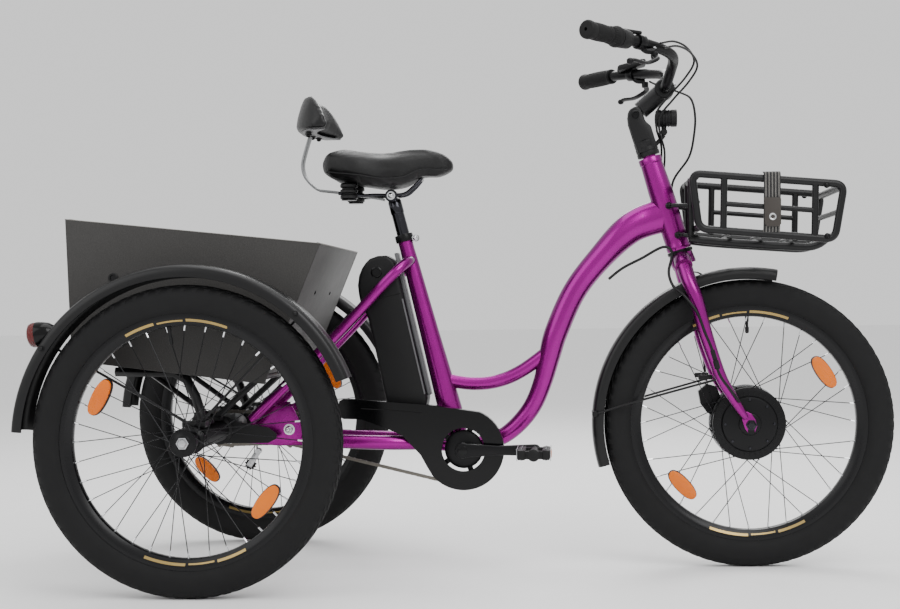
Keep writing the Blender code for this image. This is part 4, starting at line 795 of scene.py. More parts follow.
# ------------------------------------------------------------------ wheels
@dataclass
class Wheel:
    """A 24 inch wheel: tyre with its tread, black rim, laced spokes, valve and two spoke reflectors."""

    site: Site
    centre: Vector
    key: str
    body: str
    out: int
    nodes: dict[str, str]
    reflector_degs: tuple[float, float]
    valve_deg: float = 98.5
    hub_radius: float = 0.0235
    flange: float = 0.031
    lead_deg: float = 62.0
    half_width: float = 0.0265
    rim_outer: float = 0.2558
    rim_inner: float = 0.227
    spokes: int = 36
    spoke_radius: float = 0.001
    tread_cells: int = 78

    def crown(self, y: float) -> float:
        """The carcass's radius at a distance from the tyre's middle."""
        return 0.281 + 0.0242 * math.sqrt(max(0.0, 1 - (y / self.half_width) ** 2.6))

    def tyre(self) -> None:
        """The carcass, with its bead and side ribs, and the tread blocks on it."""
        outer, inner = [], []
        for index in range(25):
            angle = math.radians(-150 + 300 * index / 24)
            low = math.cos(angle) < 0
            y = self.half_width * math.copysign(abs(math.sin(angle)) ** (0.6 if low else 0.9),
                math.sin(angle))
            reach = (-0.0345 if low else 0.0242) * abs(math.cos(angle)) ** 0.9
            rib = 0.0004 if index % 6 == 3 else 0.0
            outer.append((0.281 + reach + rib, y + math.copysign(rib, y)))
            inner.append((0.281 + reach * 0.86, y * 0.88))
        carcass = lathe(outer + inner[::-1], self.centre, Y_AXIS, 112, closed=True)
        blocks = ring_of(self.tread_cell(), self.tread_cells, self.centre, RUBBER)
        self.site.add(f"{self.key}_tyre_look", merged(carcass, blocks), RUBBER, self.body, "tyre_rubber",
                      [self.nodes["tyre"]])

    def tread_cell(self) -> bpy.types.Mesh:
        """One repeat of the tread: slanted blocks on both sides of the middle."""
        pitch = 2 * math.pi / self.tread_cells
        rows = [(0.0006, 0.0062, 0.1, 0.62, 0.3), (0.0074, 0.0128, 0.34, 0.86, 0.26),
                (0.0142, 0.0192, 0.06, 0.52, 0.22), (0.0204, 0.024, 0.28, 0.7, 0.1)]
        shape = bmesh.new()
        for side in (-1, 1):
            for low, high, start, end, slant in rows:
                corners = [(low, start), (high, start + slant), (high, end + slant), (low, end)]
                rings = []
                for lift, shrink in ((-0.0012, 0.0), (0.0008, 0.0), (0.0012, 0.04)):
                    ring = []
                    for y, share in corners:
                        share += shrink if share < 0.5 * (start + end + slant) else -shrink
                        turn = (share + (0.5 if side > 0 else 0.0)) * pitch
                        reach = self.crown(y) + lift
                        ring.append(shape.verts.new((reach * math.cos(turn), side * y,
                            reach * math.sin(turn))))
                    rings.append(ring)
                for near, far in zip(rings, rings[1:]):
                    for index in range(4):
                        after = (index + 1) % 4
                        shape.faces.new((near[index], near[after], far[after], far[index]))
                shape.faces.new(rings[0][::-1])
                shape.faces.new(rings[-1])
        return from_bmesh(shape, 25.0)

    def rim(self) -> None:
        """The box-section rim with its flanges, the valve and the foil bars on its sides."""
        half = [(0.2485, 0.0105), (0.2505, 0.0122), (self.rim_outer - 0.0008, 0.0134),
                (self.rim_outer, 0.0146), (self.rim_outer - 0.0012, 0.016), (0.252, 0.0164),
                (0.2425, 0.0166), (0.2395, 0.0158), (0.232, 0.0118), (0.2285, 0.0092),
                (self.rim_inner + 0.0002, 0.0055)]
        ring = lathe(half + [(r, -y) for r, y in reversed(half)], self.centre, Y_AXIS, 112, closed=True)
        self.site.add(f"{self.key}_rim_look", ring, RIM_BLACK, self.body, "wheel_alloy", [self.nodes["rim"]])
        bars = []
        for side in (-1, 1):
            for middle in (95, 275):
                for start, end, tall in ((-26, -6, 1.0), (-4.5, 8, 0.62), (9.5, 24, 1.0)):
                    low, high = 0.2352, 0.2352 + 0.0052 * tall
                    slope = (0.0158 - 0.0118) / (0.2395 - 0.232)
                    section = [(r, side * (0.0118 + (r - 0.232) * slope + lift))
                               for r, lift in ((low, 0.0), (high, 0.0), (high, 0.0004), (low, 0.0004))]
                    bars.append(round_part(section, self.centre, middle + start, middle + end, 18))
        self.site.add(f"{self.key}_rim_bars", merged(*bars), GOLD_DECAL, self.body)
        turn = math.radians(self.valve_deg)
        spot = Vector((math.cos(turn), 0, math.sin(turn)))
        foot, tip = self.centre + spot * 0.2275, self.centre + spot * 0.19
        stem = lathe([(0.004, 0.0), (0.004, 0.01), (0.003, 0.012), (0.003, 0.022), (0.0042, 0.0225),
                      (0.0042, 0.033), (0.003, 0.036)], foot, tip - foot, 16)
        self.site.add(f"{self.key}_valve", stem, MATT_BLACK, self.body)

    def lacing(self) -> None:
        """All 36 spokes with their nipples: nine repeats of a leading and a trailing pair."""
        wires, nipples = [], []
        for index in range(4):
            side = -1 if index % 2 else 1
            rim_angle = math.radians(10.0 * index)
            lead = math.radians(self.lead_deg if index < 2 else -self.lead_deg)
            bow = 0.0022 if index < 2 else -0.0022
            hub = Vector((self.hub_radius * math.cos(rim_angle + lead), side * (self.flange + bow),
                          self.hub_radius * math.sin(rim_angle + lead)))
            spot = Vector((math.cos(rim_angle), 0, math.sin(rim_angle)))
            end = spot * (self.rim_inner + 0.002) + Y_AXIS * side * 0.0035
            wires.append(rod(hub, end, self.spoke_radius, 6))
            wires.append(rod(hub - Y_AXIS * 0.0028, hub + Y_AXIS * 0.0028, 0.0017, 8))
            nipples.append(rod(end + (hub - end).normalized() * 0.0125, end, 0.0019, 8, 0.0006))
        laced = ring_of(merged(*wires), self.spokes // 4, self.centre, SPOKE_STEEL)
        self.site.add(f"{self.key}_spokes", laced, SPOKE_STEEL, self.body, "wheel_alloy")
        heads = ring_of(merged(*nipples), self.spokes // 4, self.centre, CHROME)
        self.site.add(f"{self.key}_nipples", heads, CHROME, self.body)

    def reflectors(self) -> None:
        """Oval amber reflectors clipped between the spokes, with their black backs."""
        lenses, backs = [], []
        for angle in self.reflector_degs:
            turn = math.radians(angle)
            spot = self.centre + Vector((math.cos(turn), 0, math.sin(turn))) * 0.193
            swing = Matrix.Translation(spot) @ Matrix.Rotation(-turn, 4, "Y")
            for grow, low, high, into in ((0.0, -0.0095, 0.0125, lenses), (0.0014, -0.004, 0.006, backs)):
                oval = [((0.015 + grow) * math.copysign(abs(math.cos(a)) ** 0.8, math.cos(a)),
                         (0.0375 + grow) * math.copysign(abs(math.sin(a)) ** 0.9, math.sin(a)))
                        for a in (2 * math.pi * k / 36 for k in range(36))]
                low_y, high_y = sorted((self.out * low, self.out * high))
                plate = slab(oval, low_y, high_y, 0.0012)
                plate.transform(swing)
                into.append(plate)
        self.site.add(f"{self.key}_reflectors", merged(*lenses), AMBER, self.body)
        self.site.add(f"{self.key}_reflector_backs", merged(*backs), MATT_BLACK, self.body)

    def build(self) -> None:
        """Make the whole wheel."""
        self.tyre()
        self.rim()
        self.lacing()
        self.reflectors()


@dataclass
class RearWheel(Wheel):
    """A rear wheel with its alloy hub and the nut on its end."""

    def build(self) -> None:
        """Make the wheel and its hub."""
        super().build()
        hub = lathe([(0.0155, -0.0405), (0.0165, -0.0395), (0.0165, -0.036), (0.0262, -0.035),
            (0.027, -0.034), (0.027, -0.0285), (0.0262, -0.0275), (0.0195, -0.024), (0.0172, -0.018),
            (0.0172, 0.018), (0.0195, 0.024), (0.0262, 0.0275), (0.027, 0.0285), (0.027, 0.034),
            (0.0262, 0.035), (0.0165, 0.0362), (0.0145, 0.0375)], self.centre, Y_AXIS * self.out, 48)
        self.site.add(f"{self.key}_hub", hub, SATIN_BLACK, self.body, "wheel_alloy")
        nut = lathe([(0.0125, 0.0), (0.0125, 0.0018), (0.0095, 0.002), (0.01, 0.0045), (0.008, 0.0068),
                     (0.004, 0.0072)], self.centre + Y_AXIS * self.out * 0.0374, Y_AXIS * self.out, 6)
        self.site.add(f"{self.key}_hub_nut", nut, STEEL, self.body)


@dataclass
class MotorWheel(Wheel):
    """The front wheel with its hub motor, brake disc and axle nuts."""

    motor_radius: float = 0.077
    disc_radius: float = 0.08

    def build(self) -> None:
        """Make the wheel, the motor, the disc and the axle."""
        super().build()
        casing = lathe([
            (0.02, -0.04), (0.0225, -0.039), (0.024, -0.0365), (0.03, -0.0358), (0.054, -0.0348),
            (0.057, -0.034), (0.0585, -0.0315), (0.06, -0.0298), (0.072, -0.029), (0.0755, -0.0282),
            (self.motor_radius, -0.0262), (self.motor_radius, -0.0215), (0.074, -0.02), (0.074, 0.02),
            (self.motor_radius, 0.0215), (self.motor_radius, 0.0275), (0.0755, 0.029), (0.058, 0.0335),
            (0.03, 0.035), (0.024, 0.0358), (0.022, 0.04)], self.centre, Y_AXIS, 96)
        self.site.add("hub_motor_look", casing, SATIN_BLACK, self.body, "motor_shell", ["hub_motor"])
        bolt = lathe([(0.003, 0.0), (0.003, 0.0024), (0.0024, 0.003)], (0.0515, -0.0346, 0), -Y_AXIS, 12)
        bolts = ring_of(bolt, 8, self.centre, STEEL)
        ridge = slab([(0.062, -0.0012), (0.0715, -0.0012), (0.0715, 0.0012), (0.062, 0.0012)], -0.0302,
            -0.0288, 0.0004)
        fins = ring_of(ridge, 36, self.centre, SATIN_BLACK)
        self.site.add("hub_motor_bolts", bolts, DARK_CHROME, self.body)
        self.site.add("hub_motor_fins", fins, SATIN_BLACK, self.body)
        self.disc()
        nuts = []
        for sign in (-1, 1):
            base = self.centre + Y_AXIS * sign * 0.0615
            nuts.append(lathe([(0.012, 0.0), (0.012, 0.0016), (0.0093, 0.0018), (0.0093, 0.0068),
                (0.008, 0.0082), (0.006, 0.0084), (0.006, 0.0112), (0.005, 0.012)], base, Y_AXIS * sign, 6))
        shank = rod(self.centre - Y_AXIS * 0.06, self.centre + Y_AXIS * 0.06, 0.006, 24)
        self.site.add("front_axle_look", merged(*nuts, shank), DARK_CHROME, "steering", "bare_steel",
            ["front_axle"])

    def disc(self) -> None:
        """The brake disc: a drilled ring on six curved arms."""
        middle = 0.0415
        ring = lathe([(0.064, middle - 0.0009), (self.disc_radius, middle - 0.0009),
                      (self.disc_radius, middle + 0.0009), (0.064, middle + 0.0009)], self.centre, Y_AXIS, 96,
                     closed=True)
        arm = slab([(0.02, -0.004), (0.044, 0.004), (0.065, 0.003), (0.065, 0.012), (0.042, 0.013),
                    (0.02, 0.005)], middle - 0.0009, middle + 0.0009, 0.0003)
        slot = slab([(0.069, -0.0012), (0.075, 0.0022), (0.0738, 0.0048), (0.0678, 0.0012)], middle + 0.0008,
                    middle + 0.0012, 0.0001)
        arms = ring_of(arm, 6, self.centre, STEEL)
        self.site.add("brake_disc", merged(ring, arms), STEEL, self.body)
        self.site.add("brake_disc_slots", ring_of(slot, 24, self.centre, SATIN_BLACK), SATIN_BLACK, self.body)


# ------------------------------------------------------------------ frame
HEAD_TOP = Vector((0.921, 0.0, 0.8755))
HEAD_BOTTOM = Vector((0.982, 0.0, 0.678))
HEAD_AXIS = (HEAD_TOP - HEAD_BOTTOM).normalized()
SEAT_TOP = Vector((0.3895, 0.0, 0.715))
SEAT_AXIS = Vector((-math.sin(math.radians(14.3)), 0.0, math.cos(math.radians(14.3))))
CRANK = Vector((0.5175, 0.0, 0.259))
JACKSHAFT = Vector((0.145, 0.0, 0.305))
REAR_AXLE = Vector((0.0, 0.0, 0.306))
FRONT_AXLE = Vector((1.1235, 0.0, 0.306))
HALF_TRACK = 0.35


def head_point(height: float) -> Vector:
    """Point of the steering axis at a height."""
    return HEAD_BOTTOM + HEAD_AXIS * ((height - HEAD_BOTTOM.z) / HEAD_AXIS.z)


def seat_point(height: float) -> Vector:
    """Point of the seat tube's axis at a height."""
    return SEAT_TOP + SEAT_AXIS * ((height - SEAT_TOP.z) / SEAT_AXIS.z)


@dataclass
class FrameTubes:
    """The lacquered frame: head tube, curved main tube, brace, seat tube and stays."""

    site: Site
    body: str = "frame"
    slot: str = "frame_lacquer"
    head_radius: float = 0.0245
    main_route: list[tuple[float, ...]] = field(default_factory=lambda: [
        (0.95, 0, 0.753, 0.0365), (0.88, 0, 0.727, 0.0335), (0.8125, 0, 0.6625, 0.0275),
        (0.757, 0, 0.592, 0.0258), (0.7175, 0, 0.507, 0.0256), (0.7015, 0, 0.4535, 0.0235),
        (0.6865, 0, 0.3995, 0.0208), (0.666, 0, 0.3505, 0.0198), (0.6365, 0, 0.3115, 0.019),
        (0.6, 0, 0.282, 0.0178), (0.557, 0, 0.2665, 0.017), (0.525, 0, 0.26, 0.0165)])

    def add(self, name: str, mesh: bpy.types.Mesh, *stands_for: str) -> None:
        """Add a lacquered piece."""
        self.site.add(name, mesh, CANDY, self.body, self.slot, stands_for)

    def build(self) -> None:
        """Make all the tubes."""
        length = (HEAD_TOP - HEAD_BOTTOM).length
        r = self.head_radius
        self.add("head_tube_look", lathe([(r + 0.0012, 0.0), (r + 0.0018, 0.0015), (r + 0.0018, 0.0085),
            (r + 0.0008, 0.0105), (0.0258, 0.03), (0.0262, 0.07), (0.0262, 0.13), (0.025, 0.16),
            (r - 0.0008, length - 0.014), (r + 0.0006, length - 0.012), (r + 0.0008, length - 0.0015),
            (r, length)], HEAD_BOTTOM, HEAD_AXIS, 64), "head_tube")
        main = sweep(self.main_route, 0.03, 48, 8, up=(0, 1, 0))
        for vertex in main.vertices:
            share = min(1.0, max(0.0, (vertex.co.x - 0.84) / 0.075))
            vertex.co.y *= 1 - 0.36 * share
        self.add("main_tube_look", main, "main_tube")
        self.add("lower_brace_look", sweep([(0.466, 0, 0.409), (0.496, 0, 0.401), (0.531, 0, 0.396),
            (0.569, 0, 0.397), (0.607, 0, 0.406), (0.641, 0, 0.422), (0.675, 0, 0.445), (0.704, 0, 0.468)],
            0.0145, 32, 5, up=(0, 1, 0)), "lower_brace")
        bottom = seat_point(0.268)
        tall = (SEAT_TOP - bottom).length
        tube = lathe([(0.0205, 0.0), (0.0235, 0.03), (0.0262, 0.075), (0.0245, 0.13), (0.0205, 0.25),
                      (0.017, tall - 0.06), (0.0158, tall - 0.03), (0.0158, tall)], bottom, SEAT_AXIS, 48)
        shell = lathe([(0.0205, -0.034), (0.0215, -0.033), (0.0215, 0.033), (0.0205, 0.034)], CRANK, Y_AXIS,
            48)
        self.add("seat_tube_look", merged(tube, shell), "seat_tube")
        self.stays()
        self.welds()

    def stays(self) -> None:
        """Chain stays with their end plates, and seat stays."""
        stay = sweep([
            (0.53, -0.024, 0.26, 0.0115), (0.488, -0.027, 0.2635, 0.012), (0.44, -0.03, 0.268, 0.0125),
            (0.395, -0.045, 0.272, 0.015), (0.35, -0.055, 0.274, 0.0155), (0.262, -0.06, 0.2775, 0.015),
            (0.205, -0.0615, 0.281, 0.014), (0.17, -0.062, 0.284, 0.008)], 0.015, 28, 5)
        end_plate = slab([
            (0.2, 0.271), (0.214, 0.281), (0.2, 0.292), (0.168, 0.322), (0.152, 0.354), (0.11, 0.356),
            (0.058, 0.318), (0.052, 0.276), (0.12, 0.27)], -0.0665, -0.0605, 0.0015)
        right = merged(stay, end_plate)
        self.add("chain_stay_left_look", mirrored(right), "chain_stay_left")
        self.add("chain_stay_right_look", right, "chain_stay_right")
        upper = sweep([
            (0.4035, -0.006, 0.664), (0.399, -0.034, 0.659), (0.381, -0.055, 0.642), (0.35, -0.059, 0.611),
            (0.264, -0.064, 0.52), (0.15, -0.072, 0.408), (0.098, -0.0795, 0.357),
            (0.066, -0.0805, 0.326)], 0.0115, 28, 6)
        self.add("seat_stay_left_look", mirrored(upper), "seat_stay_left")
        self.add("seat_stay_right_look", upper, "seat_stay_right")

    def welds(self) -> None:
        """The weld bead of the brace, and the seat collar with its bolt."""
        axis = Vector((1, 0, -0.27))
        turn = axis.to_track_quat("Z", "Y")
        loop = []
        for k in range(40):
            a = 2 * math.pi * k / 40
            wide = 0.014 + 0.0004 * math.sin(k * 2.4)
            loop.append(Vector((0.469, 0, 0.4085)) + turn @ Vector(
                (wide * math.cos(a), wide * math.sin(a), 0)))
        bead = merged(sweep(loop, 0.0022, 10, 1, closed=True, up=axis))
        self.site.add("frame_weld_fillets", bead, CANDY, self.body, self.slot)
        top = seat_point(0.7125)
        collar = lathe([(0.0161, -0.0085), (0.0192, -0.008), (0.0196, -0.006), (0.0196, 0.006),
                        (0.0192, 0.0075), (0.0161, 0.008)], top, SEAT_AXIS, 40, closed=True)
        ears = box((top.x + 0.0165, -0.008, top.z - 0.0065), (top.x + 0.031, 0.008, top.z + 0.0065), 0.0025)
        self.site.add("seat_collar", merged(collar, ears), SATIN_BLACK, self.body)
        bolt = merged(rod((top.x + 0.0245, -0.0125, top.z), (top.x + 0.0245, 0.0125, top.z), 0.0032, 20,
            0.0008), dome_nut((top.x + 0.0245, -0.0082, top.z), -Y_AXIS, 0.005),
            dome_nut((top.x + 0.0245, 0.0082, top.z), Y_AXIS, 0.005))
        self.site.add("seat_collar_bolt", bolt, CHROME, self.body)


@dataclass
class RearEnd:
    """Axle carrier, rack, fenders with their wire struts, and the tail lamps."""

    site: Site
    body: str = "frame"
    fender_radius: float = 0.345
    fender_half: float = 0.0338
    skirt: float = 0.024

    def section(self, radius: float, half: float) -> list[tuple[float, float]]:
        """Closed section of a fender, with a bead along both skirts."""
        outer = [(radius - self.skirt, half), (radius - 0.015, half), (radius - 0.008, half - 0.001),
            (radius - 0.0035, half - 0.0045), (radius - 0.0008, half - 0.011), (radius + 0.0006, half * 0.45),
            (radius + 0.001, 0.0)]
        wall = 0.002
        inner = [(r - (wall if y < half - 0.006 else wall * 0.3),
            max(0.0, y - (wall if y > half - 0.012 else 0.0))) for r, y in outer]
        full = [(r, -y) for r, y in outer] + [(r, y) for r, y in reversed(outer[:-1])]
        back = [(r, y) for r, y in inner] + [(r, -y) for r, y in reversed(inner[:-1])]
        return full + back

    def build(self) -> None:
        """Make the carrier, the rack, both fenders and the lamps."""
        self.site.refined("axle_carrier", POWDER, self.body, "frame_lacquer")
        self.site.refined("rack_frame", POWDER, self.body, "black_paint")
        centre = REAR_AXLE - Y_AXIS * HALF_TRACK
        shell = round_part(self.section(self.fender_radius, self.fender_half), centre, 21, 176, 96)
        inner_y = -HALF_TRACK + self.fender_half - 0.001
        wires, nuts = [], []
        for angle, foot_x in ((48, 0.014), (146, -0.014)):
            turn = math.radians(angle)
            reach = self.fender_radius - 0.012
            far = Vector((reach * math.cos(turn), inner_y + 0.0035, 0.306 + reach * math.sin(turn)))
            near = Vector((foot_x, -0.298, 0.34))
            wires.append(sweep([near, near * 0.7 + far * 0.3, near * 0.3 + far * 0.7, far], 0.0026, 12, 3))
            nuts.append(dome_nut(far + Y_AXIS * 0.001, Y_AXIS, 0.0045))
            outside = Vector((far.x, -HALF_TRACK - self.fender_half, far.z))
            nuts.append(dome_nut(outside, -Y_AXIS, 0.0042))
        foot = box((-0.024, -0.303, 0.3295), (0.024, -0.268, 0.341), 0.002)
        for side in Side:
            mesh = mirrored(shell) if side is Side.LEFT else shell.copy()
            self.site.add(f"rear_fender_{side.word}_look", mesh, FENDER_BLACK, self.body, "fender_plastic",
                          [f"rear_fender_{side.word}"])
        self.site.add("rear_fender_struts", both(merged(*wires, foot)), POWDER, self.body)
        self.site.add("rear_fender_nuts", both(merged(*nuts)), MATT_BLACK, self.body)
        self.lamps()

    def lamps(self) -> None:
        """The tail lamp of each fender: black base, red dome lens."""
        tip, root = Vector((-0.309, -HALF_TRACK, 0.517)), Vector((-0.25, -HALF_TRACK, 0.524))
        along = (tip - root).normalized()
        root += along * 0.012
        base = lathe([(0.015, 0.0), (0.0205, 0.008), (0.0235, 0.02), (0.025, 0.03), (0.025, 0.034)],
                     root, along, 40)
        lens = lathe([(0.0243, 0.0338), (0.0245, 0.042), (0.0225, 0.047), (0.018, 0.0498), (0.009, 0.0508)],
                     root, along, 40)
        self.site.add("tail_lamp_bases", both(base), GLOSS_BLACK, self.body)
        self.site.add("tail_lamp_lenses", both(lens), RED, self.body, "red_lens", ["tail_lamp"])


@dataclass
class CargoBox:
    """The open laminate box: five panels with grey edge banding and screws."""

    site: Site
    body: str = "frame"
    slot: str = "grey_laminate"
    half_width: float = 0.255
    wall: float = 0.009
    rear_top: tuple[float, float] = (-0.271, 0.75)
    front_top: tuple[float, float] = (0.25, 0.693)
    front_bottom: tuple[float, float] = (0.132, 0.412)
    rear_bottom: tuple[float, float] = (-0.262, 0.463)
    tilt_deg: float = 6.5

    def underside(self, x: float) -> float:
        """Height of the floor's underside at x."""
        return 0.45 - math.tan(math.radians(self.tilt_deg)) * (x + 0.05)

    def leaning(self, top: Point, bottom: Point, inward: int, half: float, bevel: float) -> bpy.types.Mesh:
        """A panel between two points of the side view, thickened inwards."""
        high, low = Vector(top), Vector(bottom)
        run = (low - high).normalized()
        side = Vector((-run.y, run.x)) * self.wall * inward
        return slab([tuple(high), tuple(low), tuple(low + side), tuple(high + side)], -half, half, bevel)

    def build(self) -> None:
        """Make the panels and their trim."""
        y = self.half_width
        outline = [self.rear_top, self.rear_bottom, self.front_bottom, self.front_top]
        right = slab(outline, -y, -y + self.wall, 0.0014)
        self.site.add("box_side_left_look", mirrored(right), LAMINATE, self.body, self.slot,
            ["box_side_left"])
        self.site.add("box_side_right_look", right, LAMINATE, self.body, self.slot, ["box_side_right"])
        inner = y - self.wall - 0.0003
        top, bottom = Vector(self.front_top), Vector(self.front_bottom)
        front_low = top + (bottom - top) * 0.925
        # The front panel gets the lighter copy of the laminate: painted light where it faces the light.
        self.site.add("box_front_look", self.leaning(top, front_low, -1, inner, 0.0012), LAMINATE_PAINTED_LIGHT,
            self.body, self.slot, ["box_front"])
        rear_top, rear_low = Vector(self.rear_top), Vector(self.rear_bottom)
        rear_low += (rear_top - rear_low) * 0.03
        self.site.add("box_rear_look", self.leaning(rear_top, rear_low, 1, inner, 0.0012), LAMINATE,
            self.body, self.slot, ["box_rear"])
        low_x, high_x = -0.2515, 0.1285
        floor = [(low_x, self.underside(low_x)), (high_x, self.underside(high_x)),
            (high_x + 0.0035, self.underside(high_x) + self.wall), (low_x, self.underside(low_x) + self.wall)]
        self.site.add("box_floor_look", slab(floor, -inner, inner, 0.0008), LAMINATE, self.body, self.slot,
                      ["box_floor"])
        self.trim()

    def trim(self) -> None:
        """Grey banding along the top edges, two screws in the front panel and the cable plugs."""
        y = self.half_width
        rear, front = Vector(self.rear_top), Vector(self.front_top)
        run = (front - rear).normalized()
        up = Vector((-run.y, run.x))
        band = [tuple(rear - up * 0.0008), tuple(front - up * 0.0008), tuple(front + up * 0.0009),
                tuple(rear + up * 0.0009)]
        side = slab(band, -y - 0.0006, -y + self.wall + 0.0006, 0.0004)
        cross = []
        for corner, way in ((rear, 1), (front, -1)):
            cross.append(box((corner.x - 0.0008 if way > 0 else corner.x - 0.0095, -y + 0.01, corner.y
                - 0.0016), (corner.x + 0.0095 if way > 0 else corner.x + 0.0008, y - 0.01, corner.y + 0.001),
                0.0005))
        self.site.add("box_edge_banding", merged(both(side), *cross), EDGE_TRIM, self.body)
        lean = (Vector(self.front_bottom) - front).normalized()
        spot, away = front + lean * 0.105, Vector((-lean.y, 0, lean.x))
        screws = [lathe([(0.0042, 0.0), (0.0042, 0.0008), (0.0028, 0.0019), (0.001, 0.0022)],
                        (spot.x, s * 0.092, spot.y), away, 16) for s in (-1, 1)]
        self.site.add("box_screws", merged(*screws), SATIN_BLACK, self.body)
        plug = lathe([(0.0085, 0.0), (0.0098, 0.0008), (0.0098, 0.002), (0.0085, 0.003), (0.006, 0.003),
                      (0.0055, 0.0012)], (-0.173, -y, 0.63), -Y_AXIS, 32)
        self.site.add("box_ring_plugs", both(plug), MATT_BLACK, self.body)


@dataclass
class Basket:
    """The welded tube basket on its head tube lugs, with the elastic strap over its side."""

    site: Site
    body: str = "frame"
    half: float = 0.1376
    rail: float = 0.0078

    def corner_loop(self, corners: Sequence[tuple[float, float]], y: float, bend: float) -> list[Vector]:
        """A closed side loop with rounded corners."""
        path = []
        for index, corner in enumerate(corners):
            here = Vector(corner)
            before = (Vector(corners[index - 1]) - here).normalized() * bend
            after = (Vector(corners[(index + 1) % len(corners)]) - here).normalized() * bend
            for step in range(9):
                t = step / 8
                spot = here + before * (1 - t) ** 2 + after * t ** 2
                path.append(Vector((spot.x, y, spot.y)))
        return path

    def build(self) -> None:
        """Make the rails, posts, tray and lugs as one welded piece, and the strap."""
        side = [(0.9995, 0.829), (1.3065, 0.801), (1.2865, 0.6895), (1.0125, 0.7155)]
        tubes = []
        for y in (-self.half, self.half):
            tubes.append(sweep(self.corner_loop(side, y, 0.02), self.rail, 16, 1, closed=True, up=(0, 1, 0)))
            for x, low in ((1.062, 0.7115), (1.246, 0.695)):
                tubes.append(rod((x, y, low), (x + 0.003, y, low + 0.112), 0.007, 16))
            tubes.append(rod((1.062, y, 0.766), (1.247, y, 0.749), 0.0055, 16))
        for x, z, r in ((1.0065, 0.8225, 0.0078), (1.2995, 0.7955, 0.0078), (1.016, 0.721, 0.0078),
                        (1.283, 0.6955, 0.0078), (1.296, 0.746, 0.0055), (1.01, 0.77, 0.0055)):
            tubes.append(rod((x, -self.half, z), (x, self.half, z), r, 16))
        for x in (1.086, 1.15, 1.214):
            z = 0.7148 - (x - 1.022) * 0.0957
            tubes.append(rod((x, -self.half, z), (x, self.half, z), 0.0045, 14))
        for y in (-0.046, 0.046):
            tubes.append(sweep([(1.0, y, 0.7), (1.06, y, 0.692), (1.2, y, 0.6805), (1.245, y, 0.678),
                                (1.268, y, 0.683), (1.284, y, 0.694)], 0.0085, 16, 4))
            tubes.append(rod((1.004, y, 0.702), (1.004, y, 0.826), 0.0065, 14))
            for z, x in ((0.771, 0.952), (0.7085, 0.9705)):
                sign = math.copysign(1, y)
                tubes.append(sweep([(x, sign * 0.0305, z), (x + 0.02, sign * 0.031, z),
                                    (0.99, sign * 0.04, z - 0.001), (1.008, sign * 0.046, z - 0.003)],
                                   0.0045, 12, 4))
        self.site.add("basket_look", merged(*tubes), POWDER, self.body, "black_paint", ["basket"])
        caps = [dome_nut((1.27, s * (self.half + 0.0072), z), Y_AXIS * s, 0.0042)
                for s in (-1, 1) for z in (0.799, 0.696)]
        caps += [dome_nut((x - 0.001, s * 0.03, z), Y_AXIS * s, 0.005)
                 for s in (-1, 1) for z, x in ((0.771, 0.96), (0.7085, 0.9785))]
        self.site.add("basket_bolts", merged(*caps), SATIN_BLACK, self.body)
        self.strap()

    def strap(self) -> None:
        """The elastic strap: over the top rail, down the side, with a ringed tab on it."""
        out = self.half + self.rail
        route = [(1.16, -out + 0.01, 0.829), (1.1602, -out - 0.001, 0.8262), (1.1605, -out - 0.0024, 0.818),
            (1.1605, -out - 0.002, 0.8), (1.16, -out - 0.0016, 0.77), (1.1592, -out - 0.0018, 0.74),
            (1.1585, -out - 0.0016, 0.718), (1.1583, -out + 0.004, 0.7035), (1.1583, -out + 0.016, 0.699)]
        path = smooth_path(route, 5)
        rings = []
        for index, spot in enumerate(path):
            along = (path[min(index + 1, len(path) - 1)] - path[max(index - 1, 0)]).normalized()
            off = along.cross(X_AXIS).normalized() * 0.0009
            wide = X_AXIS * 0.017
            rings.append([spot - wide - off, spot + wide - off, spot + wide + off, spot - wide + off])
        band = loft(rings)
        self.site.add("basket_strap_look", band, WEBBING, self.body, "webbing", ["basket_strap"])
        tab = slab([(1.144, 0.776), (1.1765, 0.776), (1.1775, 0.772), (1.177, 0.722), (1.172, 0.717),
                    (1.149, 0.717), (1.144, 0.722), (1.1435, 0.772)], -out - 0.0062, -out - 0.003, 0.0008)
        self.site.add("basket_strap_tab", tab, LEATHER_TAB, self.body)
        eyelet = lathe([(0.0042, 0.0), (0.007, 0.0), (0.0072, 0.0008), (0.006, 0.0016), (0.0042, 0.001)],
                       (1.1604, -out - 0.006, 0.737), -Y_AXIS, 32, closed=True)
        self.site.add("basket_strap_eyelet", eyelet, STEEL, self.body)


